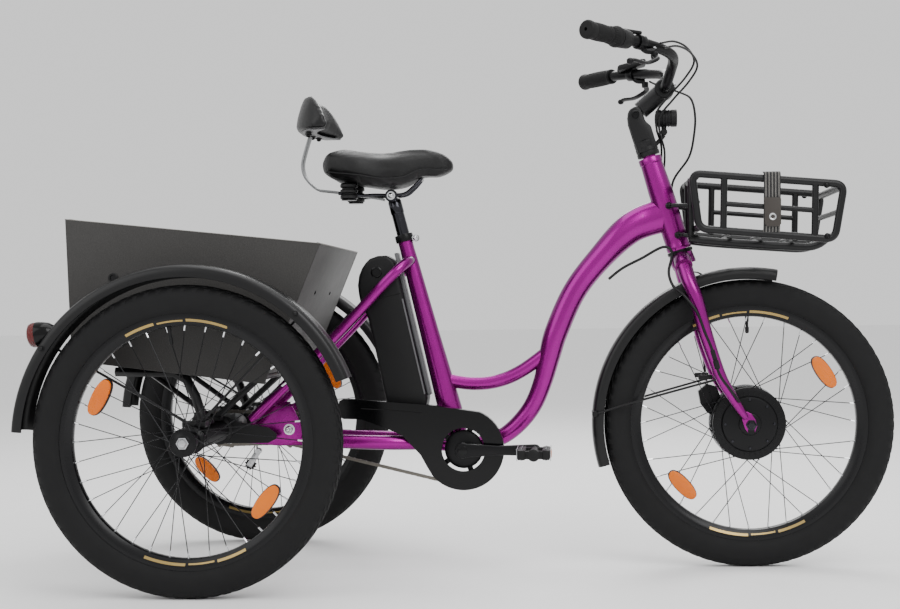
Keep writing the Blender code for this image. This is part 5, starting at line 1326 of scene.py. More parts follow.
# ------------------------------------------------------------------ steering
@dataclass
class Fork:
    """Lacquered fork, front fender with its stays, brake caliper and headset cups."""

    site: Site
    body: str = "steering"
    slot: str = "frame_lacquer"

    def build(self) -> None:
        """Make the crown, legs, fender and small parts."""
        base = head_point(0.6675)
        crown = merged(
            lathe([(0.0262, 0.0), (0.027, 0.004), (0.0262, 0.012), (0.0246, 0.0285), (0.024, 0.03)],
                  head_point(0.646), HEAD_AXIS, 48),
            rod(head_point(0.66), head_point(0.884), 0.0143, 32),
            sweep([(0.9885, -0.042, 0.642), (0.987, -0.03, 0.652), (base.x + 0.001, -0.012, 0.659),
                   (base.x + 0.001, 0.012, 0.659), (0.987, 0.03, 0.652), (0.9885, 0.042, 0.642)],
                  0.0186, 28, 5, up=(0, 0, 1)))
        self.site.add("fork_crown_look", crown, CANDY, self.body, self.slot, ["fork_crown"])
        leg = sweep([
            (0.988, -0.031, 0.646, 0.0172), (0.9985, -0.05, 0.608, 0.0162), (1.0125, -0.058, 0.57, 0.015),
            (1.033, -0.061, 0.49, 0.0145), (1.06, -0.0625, 0.41, 0.0125), (1.083, -0.0625, 0.368, 0.011),
            (1.105, -0.0605, 0.332, 0.0085), (1.113, -0.059, 0.32, 0.0055)], 0.015, 32, 6, up=(0, 1, 0))
        end = slab([(1.11, 0.336), (1.104, 0.318), (1.11, 0.298), (1.117, 0.289), (1.117, 0.306),
                    *arc((1.1235, 0.306), 0.0065, 180, 0, 9), (1.13, 0.289), (1.136, 0.304), (1.132, 0.318),
                    (1.124, 0.33)], -0.061, -0.055, 0.0012)
        right = merged(leg, end)
        self.site.add("fork_leg_left_look", mirrored(right), CANDY, self.body, self.slot, ["fork_leg_left"])
        self.site.add("fork_leg_right_look", right, CANDY, self.body, self.slot, ["fork_leg_right"])
        self.fender()
        self.site.refined("brake_caliper", SATIN_BLACK, self.body, "black_paint", 0.0015)
        bolts = [lathe([(0.0042, 0.0), (0.0042, 0.0036), (0.0036, 0.0042), (0.0022, 0.0042), (0.002, 0.002)],
                       (x, 0.0562, z), Y_AXIS, 20) for x, z in ((1.046, 0.378), (1.062, 0.33), (1.036, 0.35))]
        self.site.add("caliper_bolts", merged(*bolts), STEEL, self.body)
        lower = lathe([(0.0262, -0.0085), (0.0272, -0.0075), (0.0276, -0.003), (0.0268, -0.0012),
                       (0.024, -0.0006), (0.024, -0.008)], HEAD_BOTTOM, HEAD_AXIS, 48, closed=True)
        self.site.add("headset_lower_cup", lower, SATIN_BLACK, self.body)

    def fender(self) -> None:
        """The front fender, its bridge under the crown, wire stays and bolts."""
        shell = round_part(RearEnd(self.site).section(0.332, 0.0325), FRONT_AXLE, 79, 196, 72)
        hanger = slab(strip([(0.9935, 0.632), (1.008, 0.6305), (1.02, 0.629), (1.03, 0.624)], 0.0022), -0.012,
                      0.012, 0.0006)
        self.site.add("front_fender_look", shell, FENDER_BLACK, self.body, "fender_plastic", ["front_fender"])
        stay = sweep([(0.799, -0.0345, 0.33), (0.808, -0.036, 0.333), (0.86, -0.0385, 0.349),
                      (0.95, -0.044, 0.374), (1.035, -0.05, 0.397), (1.052, -0.054, 0.401)], 0.0024, 12, 5)
        self.site.add("front_fender_stays", merged(both(stay), hanger), POWDER, self.body)
        knobs = [lathe([(0.0062, 0.0), (0.0066, 0.0015), (0.0066, 0.005), (0.005, 0.0066)],
                       (0.7975, s * 0.0335, 0.33), Y_AXIS * s, 24) for s in (-1, 1)]
        tabs = [box((1.015, s * 0.048 - 0.003, 0.402), (1.045, s * 0.048 + 0.003, 0.412), 0.002)
                for s in (-1, 1)]
        self.site.add("front_fender_knobs", merged(*knobs, *tabs), MATT_BLACK, self.body)


@dataclass
class Stem:
    """Adjustable stem: base with spacers, arm with the bar clamp, lamp on its bracket."""

    site: Site
    pivot: Vector = field(default_factory=lambda: Vector((0.891, 0.0, 0.967)))
    clamp: Vector = field(default_factory=lambda: Vector((0.9535, 0.0, 1.021)))

    def build(self) -> None:
        """Make the stem and the lamp."""
        base = slab([
            (0.8965, 0.883), (0.886, 0.915), (0.876, 0.948), (0.8745, 0.964), (0.88, 0.979),
            (0.891, 0.9845), (0.903, 0.979), (0.908, 0.966), (0.912, 0.953), (0.924, 0.942),
            (0.931, 0.918), (0.936, 0.901), (0.93, 0.892)], -0.02, -0.0106, 0.003, 3)
        heart = slab([(0.9, 0.886), (0.89, 0.915), (0.885, 0.938), (0.92, 0.94), (0.93, 0.91),
                      (0.929, 0.894)], -0.011, 0.011, 0.0015)
        collar = lathe([(0.0236, 0.0), (0.0242, 0.0015), (0.0242, 0.0085), (0.0232, 0.0095), (0.0232, 0.0105),
                        (0.024, 0.0115), (0.024, 0.019), (0.023, 0.02), (0.023, 0.021), (0.0236, 0.022),
                        (0.0236, 0.033), (0.02, 0.035)], head_point(0.8795), HEAD_AXIS, 48)
        bracket = sweep([(0.93, 0, 0.9), (0.938, 0, 0.908), (0.946, 0, 0.916), (0.952, 0, 0.9235)], 0.0045,
            16, 4)
        body = merged(both(base), heart, collar, bracket)
        self.site.add("stem_base_look", body, POWDER, "steering", "black_paint", ["stem_base"])
        pin = merged(*(lathe([(0.0085, 0.0), (0.0085, 0.002), (0.007, 0.0034), (0.0044, 0.0034),
            (0.004, 0.0014)], self.pivot + Y_AXIS * s * 0.02, Y_AXIS * s, 28) for s in (-1, 1)))
        self.site.add("stem_pivot_bolt", pin, SATIN_BLACK, "steering")
        arm_line = (self.clamp - self.pivot).normalized()
        neck = sweep([self.pivot + arm_line * 0.016, self.pivot + arm_line * 0.04,
                      self.pivot + arm_line * 0.074], 0.0195, 28, 4, up=(0, 1, 0))
        tongue = rod(self.pivot - Y_AXIS * 0.01, self.pivot + Y_AXIS * 0.01, 0.016, 36, 0.0006)
        eye = rod(self.clamp - Y_AXIS * 0.023, self.clamp + Y_AXIS * 0.023, 0.0215, 48, 0.003)
        self.site.add("stem_arm_look", merged(neck, tongue, eye), POWDER, "cockpit", "black_paint",
            ["stem_arm"])
        bolts = [rod(self.clamp + Vector((0.017, y, 0.006)), self.clamp + Vector((0.0245, y, 0.0085)), 0.0034,
            20, 0.0008) for y in (-0.014, 0.014)]
        self.site.add("stem_clamp_bolts", merged(*bolts), STEEL, "cockpit")
        self.lamp()

    def lamp(self) -> None:
        """The head lamp: finned barrel, knuckle and clear lens."""
        start = Vector((0.9375, 0, 0.9595))
        fins = [(0.015, -0.003), (0.017, -0.001), (0.0182, 0.003)]
        for step in range(4):
            at = 0.006 + step * 0.0058
            fins += [(0.0185, at), (0.0185, at + 0.0028), (0.0172, at + 0.0034), (0.0172, at + 0.0052)]
        fins += [(0.0185, 0.03), (0.0185, 0.0415), (0.0176, 0.042), (0.0168, 0.0385)]
        barrel = lathe(fins, start, X_AXIS, 48)
        knuckle = rod((0.952, 0, 0.945), (0.952, 0, 0.9265), 0.0055, 20, 0.001)
        joint = rod((0.952, -0.007, 0.93), (0.952, 0.007, 0.93), 0.0072, 24, 0.0012)
        self.site.add("head_lamp_look", merged(barrel, knuckle, joint), MATT_BLACK, "lamp", "black_plastic",
                      ["head_lamp"])
        lens = lathe([(0.0166, 0.0386), (0.0166, 0.0404), (0.012, 0.0418), (0.006, 0.0424)], start, X_AXIS,
            40)
        self.site.add("head_lamp_lens", lens, CLEAR, "lamp")


@dataclass
class Cockpit:
    """Swept handlebar with grips, twist shifter, brake levers and the small display."""

    site: Site
    body: str = "cockpit"
    inner: Vector = field(default_factory=lambda: Vector((0.85, -0.248, 1.09)))
    end: Vector = field(default_factory=lambda: Vector((0.787, -0.335, 1.0915)))
    lever_pivot: Vector = field(default_factory=lambda: Vector((0.923, -0.196, 1.062)))
    route: list[tuple[float, float, float]] = field(default_factory=lambda: [
        (0.9535, 0.0, 1.021), (0.9535, -0.027, 1.021), (0.9565, -0.048, 1.028), (0.964, -0.076, 1.052),
        (0.967, -0.1, 1.066), (0.96, -0.13, 1.074), (0.935, -0.165, 1.081), (0.894, -0.205, 1.087),
        (0.85, -0.248, 1.09)])

    def build(self) -> None:
        """Make the bar and everything on it."""
        half = self.route + [tuple(self.inner.lerp(self.end, 0.96))]
        full = [(x, -y, z) for x, y, z in reversed(half)] + half[1:]
        bar = sweep(full, 0.0111, 28, 7)
        along = (self.end - self.inner).normalized()
        clampway = (Vector(self.route[8]) - Vector(self.route[6])).normalized()
        ring = lathe([(0.0111, -0.009), (0.0146, -0.009), (0.0152, -0.008), (0.0152, 0.008), (0.0146, 0.009),
                      (0.0111, 0.009)], self.route[7], clampway, 32, closed=True)
        perch = sweep([(0.9, -0.201, 1.075), (0.906, -0.1985, 1.071), (0.914, -0.197, 1.07),
                       tuple(self.lever_pivot + Vector((0, 0, 0.008)))], 0.0062, 18, 5)
        self.site.add("handlebar_look", merged(bar, both(merged(ring, perch))), SATIN_BLACK, self.body,
            "black_paint", ["handlebar"])
        bolt = rod(self.lever_pivot + Z_AXIS * 0.013, self.lever_pivot + Z_AXIS * 0.0165, 0.0042, 20, 0.001)
        self.site.add("lever_pivot_bolts", both(merged(bolt)), STEEL, self.body)
        self.grips(along)
        self.levers()
        self.display()

    def grips(self, along: Vector) -> None:
        """Ribbed ergonomic grips and the twist shifter inboard of the right one."""
        length = (self.end - self.inner).length
        bore = 0.0113

        def ribbed(start: float) -> list[tuple[float, float]]:
            """A grip's section from a distance along the bar, with rings pressed in its middle."""
            rows = [(bore, start), (0.0162, start), (0.017, start + 0.0012), (0.017, start + 0.0045),
                    (0.0156, start + 0.006)]
            at = start + 0.009
            while at < length - 0.02:
                girth = 0.0155 + 0.0016 * math.sin(math.pi * (at - start) / (length - start))
                rows += [(girth + 0.0006, at), (girth + 0.0006, at + 0.0016), (girth, at + 0.0022),
                         (girth, at + 0.0032)]
                at += 0.0038
            return rows + [(0.0172, length - 0.014), (0.0186, length - 0.006), (0.0184, length),
                           (0.016, length + 0.0035), (0.01, length + 0.0042), (0.0035, length + 0.0042),
                           (0.0035, length - 0.0015), (bore, length - 0.0015)]

        self.site.add("grip_right_look", lathe(ribbed(0.036), self.inner, along, 40, closed=True), GRIP,
            self.body, "grip_rubber", ["grip_right"])
        self.site.add("grip_left_look", mirrored(lathe(ribbed(0.0), self.inner, along, 40, closed=True)),
            GRIP, self.body, "grip_rubber", ["grip_left"])
        core = lathe([(bore, 0.005), (0.0195, 0.005), (0.0212, 0.007), (0.0215, 0.011), (0.02, 0.016),
            (0.0176, 0.019), (0.0168, 0.034), (0.016, 0.0357), (bore, 0.0357)], self.inner, along, 48,
            closed=True)
        self.site.add("twist_shifter_look", core, GRIP, "shifter", "grip_rubber", ["twist_shifter"])
        housing = lathe([(0.0112, -0.033), (0.0165, -0.0325), (0.0185, -0.029), (0.02, -0.006),
            (0.0196, 0.003), (0.0113, 0.004)], self.inner, along, 40, closed=True)
        outlet = rod(self.inner + Vector((0.012, 0.014, 0.016)), self.inner + Vector((0.046, 0.046, 0.016)),
            0.0042, 18, 0.001)
        self.site.add("shifter_housing", merged(housing, outlet), MATT_BLACK, self.body)
        turn = along.to_track_quat("Z", "Y")
        ribs = []
        for step in range(24):
            angle = 2 * math.pi * step / 24
            off = turn @ Vector((math.cos(angle), math.sin(angle), 0)) * 0.017
            ribs.append(rod(self.inner + along * 0.0205 + off, self.inner + along * 0.0335 + off * 0.985,
                0.0011, 6))
        self.site.add("twist_shifter_ribs", merged(*ribs), GRIP, "shifter")

    def levers(self) -> None:
        """Forged alloy brake levers with their ball ends."""
        p = self.lever_pivot
        blade = sweep([(p.x - 0.002, p.y + 0.004, p.z, 0.0062), (p.x + 0.004, p.y - 0.02, p.z - 0.01, 0.006),
                       (0.911, -0.233, 1.042, 0.0058), (0.898, -0.253, 1.039, 0.006),
                       (0.88, -0.276, 1.04, 0.0062), (0.873, -0.285, 1.038, 0.0052)], 0.006, 20, 7,
                      flat=0.62)
        ball = lathe([(0.003, -0.0066), (0.0056, -0.0038), (0.0066, 0.0), (0.0056, 0.0038), (0.003, 0.0066)],
                     (0.8705, -0.288, 1.0365), (1, 0, 0), 20)
        boss = rod(p - Z_AXIS * 0.007, p + Z_AXIS * 0.0055, 0.0075, 24, 0.0008)
        right = merged(blade, ball, boss)
        self.site.add("brake_lever_left_look", mirrored(right), SATIN_BLACK, "lever_left", "black_alloy",
                      ["brake_lever_left"])
        self.site.add("brake_lever_right_look", right, SATIN_BLACK, "lever_right", "black_alloy",
                      ["brake_lever_right"])

    def display(self) -> None:
        """The motor's small display on the left half of the bar."""
        centre = Vector((0.893, 0.205, 1.106))
        case = box(centre - Vector((0.033, 0.027, 0.007)), centre + Vector((0.033, 0.027, 0.006)), 0.0045)
        foot = rod(centre, centre - Vector((0.0, 0.0, 0.018)), 0.009, 24, 0.001)
        glass = box(centre + Vector((-0.029, -0.023, 0.0058)), centre + Vector((0.026, 0.023, 0.0066)),
            0.0003)
        tilt = Matrix.Translation(centre) @ Matrix.Rotation(math.radians(-14), 4,
            "Y") @ Matrix.Translation(-centre)
        for part in (case, glass):
            part.transform(tilt)
        self.site.add("display_case", merged(case, foot), MATT_BLACK, self.body)
        self.site.add("display_glass", glass, GLOSS_BLACK, self.body)


@dataclass
class Cables:
    """Control cables swept along their whole way; they ride on no body."""

    site: Site
    front: list[tuple[float, float, float]] = field(default_factory=lambda: [
        (0.933, 0.18, 1.066), (0.952, 0.14, 1.05), (0.99, 0.07, 1.025), (1.012, 0.03, 1.005),
        (1.0205, 0.025, 0.97), (1.019, 0.03, 0.93), (1.008, 0.04, 0.88), (0.974, 0.042, 0.83),
        (0.969, 0.037, 0.78), (0.974, 0.0335, 0.72), (1.0, 0.078, 0.64), (1.018, 0.086, 0.57),
        (1.034, 0.086, 0.48), (1.04, 0.078, 0.42), (1.042, 0.07, 0.392)])
    rear: list[tuple[float, float, float]] = field(default_factory=lambda: [
        (0.935, -0.2, 1.085), (0.965, -0.155, 1.096), (0.995, -0.105, 1.091), (1.013, -0.06, 1.07),
        (0.996, -0.038, 1.04), (0.964, -0.033, 1.005), (0.935, -0.029, 0.968), (0.936, -0.022, 0.93),
        (0.947, 0.01, 0.898), (0.944, 0.031, 0.845), (0.931, 0.04, 0.795)])
    motor: list[tuple[float, float, float]] = field(default_factory=lambda: [
        (0.83, -0.022, 0.617), (0.86, -0.026, 0.64), (0.9, -0.033, 0.66), (0.945, -0.036, 0.683),
        (0.964, -0.0385, 0.67), (0.956, -0.045, 0.63), (0.964, -0.06, 0.6), (0.985, -0.072, 0.58),
        (1.011, -0.0785, 0.545), (1.028, -0.08, 0.5), (1.042, -0.081, 0.465), (1.056, -0.081, 0.415),
        (1.08, -0.079, 0.38), (1.098, -0.077, 0.355)])

    def bending(self, name: str, route: Sequence[Point], radius: float,
                span: tuple[Point, Point], node: str) -> None:
        """A cable swept along its route, left on no body.

        Args:
            name: the piece's name.
            route: its path.
            radius: its radius.
            span: where it leaves the first and where it is wholly on the second; not used.
            node: the CAD node that it stands for.
        """
        tube = sweep(route, radius, 14, 6)
        piece = self.site.loose(name, tube)
        self.site.dress(piece, CABLE, None, "cable_sleeve", [node])
        tuple(self.site.world(span[0]))
        tuple(self.site.world(span[1]))
        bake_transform(piece)

    def build(self) -> None:
        """Make the cables and their end ferrules."""
        self.bending("front_brake_cable_look", self.front, 0.0025,
                     ((0.99, 0.03, 0.9), (0.99, 0.03, 1.03)), "front_brake_cable")
        for name, shift in (("rear_brake_cable", (0.0, 0.0, 0.0)), ("shift_cable", (0.007, 0.004, -0.009))):
            route = [tuple(a + b for a, b in zip(spot, shift)) for spot in self.rear]
            self.bending(f"{name}_upper", route[:8], 0.0023,
                         ((0.945, -0.03, 0.925), (0.985, -0.03, 1.03)), "rear_brake_cable")
            self.bending(f"{name}_lower", route[7:], 0.0023,
                         ((0.925, -0.04, 0.79), (0.937, -0.03, 0.905)), "rear_brake_cable")
        self.bending("motor_cable_look", self.motor, 0.003,
                     ((0.9, -0.03, 0.6), (0.975, -0.06, 0.6)), "motor_cable")
        first, second = Vector(self.front[-1]), Vector(self.front[-2])
        ferrule = rod(second.lerp(first, 0.3), first, 0.0036, 16, 0.0006)
        self.site.add("front_cable_ferrule", ferrule, STEEL, "steering")
        plug = merged(rod((1.048, -0.081, 0.444), (1.053, -0.0812, 0.425), 0.006, 24, 0.002),
                      rod((1.042, -0.081, 0.465), (1.048, -0.081, 0.444), 0.0048, 24, 0.001))
        self.site.add("motor_cable_connector", plug, MATT_BLACK, "steering")


# ------------------------------------------------------------------ seat
@dataclass
class Seat:
    """Sprung saddle on its post, and the padded backrest on a bent steel bar."""

    site: Site
    body: str = "seat"
    pressure: float = 4.0
    voxel: float = 0.005
    cap: float = 0.006
    square: float = 0.52
    stations: list[tuple[float, float, float, float]] = field(default_factory=lambda: [
        (0.22, 0.046, 0.88, 0.854), (0.235, 0.084, 0.8955, 0.843), (0.256, 0.1, 0.8975, 0.838),
        (0.28, 0.107, 0.895, 0.835), (0.308, 0.108, 0.8905, 0.832), (0.343, 0.094, 0.888, 0.826),
        (0.371, 0.073, 0.8905, 0.826), (0.399, 0.054, 0.895, 0.831), (0.43, 0.041, 0.897, 0.848),
        (0.465, 0.033, 0.896, 0.849), (0.485, 0.027, 0.8905, 0.8505), (0.501, 0.014, 0.8745, 0.858)])

    def swollen(self, piece: bpy.types.Object) -> None:
        """Puff a pad up by a short cloth simulation, then smooth it.

        Args:
            piece: the pad, placed in the frame's axes.
        """
        mesher = piece.modifiers.new("even", "REMESH")
        mesher.mode = "VOXEL"
        mesher.voxel_size = self.voxel
        mesher.use_smooth_shade = True
        bake(piece)
        start = [v.co.copy() for v in piece.data.vertices]
        cloth = piece.modifiers.new("cloth", "CLOTH")
        cloth.settings.use_pressure = True
        cloth.settings.uniform_pressure_force = self.pressure
        cloth.settings.tension_stiffness = 18.0
        cloth.settings.compression_stiffness = 18.0
        cloth.settings.bending_stiffness = 0.6
        cloth.settings.effector_weights.gravity = 0.0
        cloth.point_cache.frame_start = 1
        cloth.point_cache.frame_end = 20
        for frame in range(1, 21):
            bpy.context.scene.frame_set(frame)
        bake(piece)
        bpy.context.scene.frame_set(1)
        for vertex, rest in zip(piece.data.vertices, start):
            push = vertex.co - rest
            if push.length > self.cap:
                vertex.co = rest + push.normalized() * self.cap
        finer = piece.modifiers.new("finer", "SUBSURF")
        finer.levels = 1
        finer.render_levels = 1
        bake(piece)
        piece.data.shade_smooth()

    def ring(self, x: float, half: float, top: float, bottom: float, count: int = 40) -> list[Vector]:
        """One cross-section of the saddle, flatter on top."""
        middle, tall = (top + bottom) / 2, (top - bottom) / 2
        spots = []
        for index in range(count):
            a = 2 * math.pi * index / count
            across, high = math.cos(a), math.sin(a)
            spots.append(Vector((x, half * math.copysign(abs(across) ** self.square, across),
                                 middle + tall * math.copysign(abs(high) ** self.square, high))))
        return spots

    def build(self) -> None:
        """Make the saddle, its frame, the post and the backrest."""
        rows = smooth_path(self.stations, 3)
        saddle = self.site.loose("saddle_pad", loft([self.ring(*row) for row in rows]))
        self.swollen(saddle)
        self.site.dress(saddle, VINYL, self.body, "black_vinyl", ["saddle"])
        self.saddle_trim()
        self.frame()
        self.backrest()

    def saddle_trim(self) -> None:
        """The stitched seam round the saddle's skirt."""
        share = -0.66
        loop = []
        for x, half, top, bottom in self.stations[1:-1]:
            middle, tall = (top + bottom) / 2, (top - bottom) / 2
            wide = half * math.sqrt(1 - abs(share) ** (2 / self.square)) ** self.square + 0.0022
            loop.append((x, -wide, middle + tall * share))
        loop = loop + [(x, -y, z) for x, y, z in reversed(loop)]
        self.site.add("saddle_seam", sweep(loop, 0.0012, 8, 4, closed=True), THREAD, self.body)

    def frame(self) -> None:
        """Fluted post, seat clamp, rails and the two elastomer springs."""
        top = seat_point(0.795)
        flutes, length = 48, 0.3
        turn = SEAT_AXIS.to_track_quat("Z", "Y")
        rings = []
        for along in (0.0, length):
            ring = []
            for k in range(flutes):
                radius = 0.0136 if k % 4 < 2 else 0.0128
                angle = 2 * math.pi * k / flutes
                out = turn @ Vector((radius * math.cos(angle), radius * math.sin(angle), 0))
                ring.append(top - SEAT_AXIS * (length - along) + out)
            rings.append(ring)
        self.site.add("seat_post_look", loft(rings), DARK_CHROME, self.body, "post_alloy", ["seat_post"])
        cap = lathe([(0.0139, -0.03), (0.0146, -0.028), (0.0146, -0.004), (0.012, 0.0)], top, SEAT_AXIS, 40)
        head = merged(cap, rod((0.366, -0.03, 0.803), (0.366, 0.03, 0.803), 0.0135, 36, 0.0015))
        nuts = merged(*(dome_nut((0.366, s * 0.03, 0.803), Y_AXIS * s, 0.0062) for s in (-1, 1)))
        self.site.add("seat_clamp", head, DARK_CHROME, self.body)
        self.site.add("seat_clamp_nuts", nuts, CHROME, self.body)
        rail = sweep([(0.256, -0.052, 0.808), (0.277, -0.05, 0.806), (0.306, -0.034, 0.804),
                      (0.33, -0.0225, 0.8055), (0.388, -0.022, 0.8055), (0.412, -0.02, 0.82),
                      (0.43, -0.012, 0.839)], 0.0036, 14, 5)
        nose = rod((0.429, -0.014, 0.839), (0.429, 0.014, 0.839), 0.0045, 16, 0.001)
        self.site.add("saddle_rails", merged(both(rail), nose), DARK_CHROME, self.body)
        rings = [(0.0155, 0.0), (0.019, 0.002), (0.019, 0.0075), (0.015, 0.01), (0.015, 0.0115),
                 (0.019, 0.014), (0.019, 0.0195), (0.015, 0.022), (0.015, 0.0235), (0.019, 0.026),
                 (0.019, 0.031), (0.016, 0.0345)]
        spring = lathe(rings, (0.2785, -0.05, 0.795), Z_AXIS, 36)
        self.site.add("saddle_springs", both(spring), ELASTOMER, self.body)
        cups = merged(*(rod((0.2785, s * 0.05, 0.7925), (0.2785, s * 0.05, 0.795), 0.0165, 32, 0.001)
                        for s in (-1, 1)))
        self.site.add("saddle_spring_cups", cups, SATIN_BLACK, self.body)

    def backrest(self) -> None:
        """The bent bar, the curved pad and the nuts that hold it."""
        route = [(0.188, 0.937), (0.177, 0.903), (0.1705, 0.875), (0.174, 0.853), (0.185, 0.836),
                 (0.203, 0.8205), (0.22, 0.817), (0.25, 0.813), (0.33, 0.8), (0.348, 0.796)]
        line = [tuple(p) for p in smooth_path(route, 5)]
        bar = slab(strip(line, 0.005), -0.013, 0.013, 0.0012)
        self.site.add("backrest_bar_look", bar, DULL_STEEL, self.body, "bare_steel", ["backrest_bar"])
        rings = []
        count = 33
        for index in range(count):
            t = -1 + 2 * index / (count - 1)
            forward = 0.046 * abs(t) ** 2.2
            trim = max(0.3, 1 - (forward / 0.054) ** 2.2)
            y, low = 0.119 * t, 0.9425
            high = low + 0.079 * trim
            base = 0.0225 * (0.66 + 0.34 * trim)
            centre = 0.185 + forward
            rings.append([
                (centre - base, y, low + 0.01), (centre - base * 0.7, y, low), (centre + base * 0.7, y, low),
                (centre + base, y, low + 0.008), (centre + base * 0.9, y, low * 0.62 + high * 0.38),
                (centre + base * 0.62, y, high - 0.014 * trim), (centre + base * 0.36, y, high),
                (centre - base * 0.05, y, high - 0.001), (centre - base * 0.52, y, low * 0.28 + high * 0.72),
                (centre - base * 0.88, y, low * 0.62 + high * 0.38)])
        pad = self.site.loose("backrest_pad", loft(rings))
        self.swollen(pad)
        self.site.dress(pad, SMOOTH_VINYL, self.body, "black_vinyl", ["backrest"])
        plate = []
        for index in range(17):
            t = -0.86 + 1.72 * index / 16
            spot = (0.188 + 0.046 * abs(t) ** 2.2, 0.119 * t)
            plate.append([(spot[0] - 0.0165, spot[1], 0.9395), (spot[0] + 0.0165, spot[1], 0.9395),
                          (spot[0] + 0.0165, spot[1], 0.942), (spot[0] - 0.0165, spot[1], 0.942)])
        self.site.add("backrest_base_plate", loft(plate), GREY_STRIP, self.body)
        nuts = [dome_nut((0.188 + dx, y, 0.9393), -Z_AXIS, 0.0052)
                for dx, y in ((0.0, -0.026), (0.0, 0.026), (0.0075, -0.06), (0.0075, 0.06))]
        self.site.add("backrest_nuts", merged(*nuts), MATT_BLACK, self.body)


# ------------------------------------------------------------------ drive
@dataclass
class Drive:
    """Cranks, pedals, both chains, gear hub, axle cog, tensioner and the gloss chain guard."""

    site: Site
    pitch: float = 0.0127
    ring_y: float = -0.05
    inner_y: float = -0.03
    ring_teeth: int = 38
    hub_teeth: int = 16
    cog_teeth: int = 18
    crank_length: float = 0.1525

    def pitch_radius(self, teeth: int) -> float:
        """Radius of the chain's path on a sprocket."""
        return self.pitch / (2 * math.sin(math.pi / teeth))

    def loop(self, first: Vector, first_teeth: int, second: Vector, second_teeth: int,
            y: float) -> list[Point]:
        """Closed path of a chain round two sprockets, the first of them ahead."""
        r1, r2 = self.pitch_radius(first_teeth), self.pitch_radius(second_teeth)
        a, b = Vector((first.x, first.z)), Vector((second.x, second.z))
        lean = math.degrees(math.atan2(a.y - b.y, a.x - b.x))
        spread = math.degrees(math.acos((r1 - r2) / (a - b).length))
        path = arc(tuple(a), r1, lean - (180 - spread), lean + (180 - spread), 60)
        path += arc(tuple(b), r2, lean + (180 - spread), lean + 360 - (180 - spread), 40)
        return [(x, y, z) for x, z in path]

    def chain(self, name: str, node: str, path: list[Point]) -> None:
        """One chain from link pairs set along its path."""
        around = sum((Vector(p) - Vector(q)).length for p, q in zip(path, path[1:] + path[:1]))
        count = round(around / self.pitch / 2)
        long = around / count / 2
        plates = []
        for shift, gap in ((0.0, 0.0032), (long, 0.002)):
            for side in (-1, 1):
                peanut = [(shift - long / 2 + 0.0036 * math.cos(a), 0.0036 * math.sin(a))
                          for a in (math.radians(d) for d in range(60, 301, 40))]
                peanut += [(shift + long / 2 + 0.0036 * math.cos(a), 0.0036 * math.sin(a))
                           for a in (math.radians(d) for d in range(-120, 121, 40))]
                low, high = sorted((side * gap, side * (gap + 0.0009)))
                plates.append(slab(peanut, low, high, 0.0))
            plates.append(rod((shift - long / 2, -0.004, 0), (shift - long / 2, 0.004, 0), 0.0019, 8))
            plates.append(rod((shift - long / 2, -0.0019, 0), (shift - long / 2, 0.0019, 0), 0.0036, 10))
        made = row_along(path, merged(*plates), count, CHAIN_STEEL)
        self.site.add(name, made, CHAIN_STEEL, "frame", "chain_steel", [node])

    def sprocket(self, teeth: int, y: float, centre: Vector, finish: Finish, bore: float) -> bpy.types.Mesh:
        """A toothed plate: a round web with teeth set round it."""
        root = self.pitch_radius(teeth) - 0.0052
        web = lathe([(bore, y - 0.0011), (root, y - 0.0011), (root, y + 0.0011), (bore, y + 0.0011)], centre,
            Y_AXIS, teeth * 2, closed=True)
        tooth = slab([(root - 0.001, -0.0042), (root + 0.0022, -0.003), (root + 0.0062, -0.001),
                      (root + 0.0066, 0.0), (root + 0.0062, 0.001), (root + 0.0022, 0.003),
                      (root - 0.001, 0.0042)], y - 0.001, y + 0.001, 0.0)
        return merged(web, ring_of(tooth, teeth, centre, finish))

    def build(self) -> None:
        """Make the whole drive."""
        self.chain("drive_chain_look", "drive_chain",
                   self.loop(CRANK, self.ring_teeth, JACKSHAFT, self.hub_teeth, self.ring_y))
        self.chain("axle_chain_look", "axle_chain",
                   self.loop(JACKSHAFT, self.hub_teeth, REAR_AXLE, self.cog_teeth, self.inner_y))
        hub = lathe([(0.008, -0.0555), (0.0135, -0.055), (0.0145, -0.053), (0.02, -0.052), (0.02, -0.025),
                     (0.024, -0.0235), (0.03, -0.0215), (0.032, -0.019), (0.032, -0.016), (0.03, -0.014),
                     (0.029, -0.01), (0.029, 0.03), (0.03, 0.034), (0.032, 0.0355), (0.032, 0.039),
                     (0.03, 0.0405), (0.016, 0.045), (0.015, 0.055)], JACKSHAFT, Y_AXIS, 56)
        axle = rod(JACKSHAFT - Y_AXIS * 0.0775, JACKSHAFT + Y_AXIS * 0.0775, 0.0058, 24, 0.001)
        self.site.add("gear_hub_look", merged(hub, axle), STEEL, "jackshaft", "hub_alloy", ["gear_hub"])
        cogs = merged(self.sprocket(self.hub_teeth, self.ring_y, JACKSHAFT, DULL_STEEL, 0.012),
                      self.sprocket(self.hub_teeth, self.inner_y, JACKSHAFT, DULL_STEEL, 0.012))
        self.site.add("gear_hub_sprockets", cogs, DULL_STEEL, "jackshaft")
        nuts = [dome_nut(JACKSHAFT + Y_AXIS * s * 0.0668, Y_AXIS * s, 0.0082) for s in (-1, 1)]
        self.site.add("gear_hub_nuts", merged(*nuts), CHROME, "frame")
        self.axle()
        self.tensioner()
        self.cranks()
        self.pedals()
        self.guard()

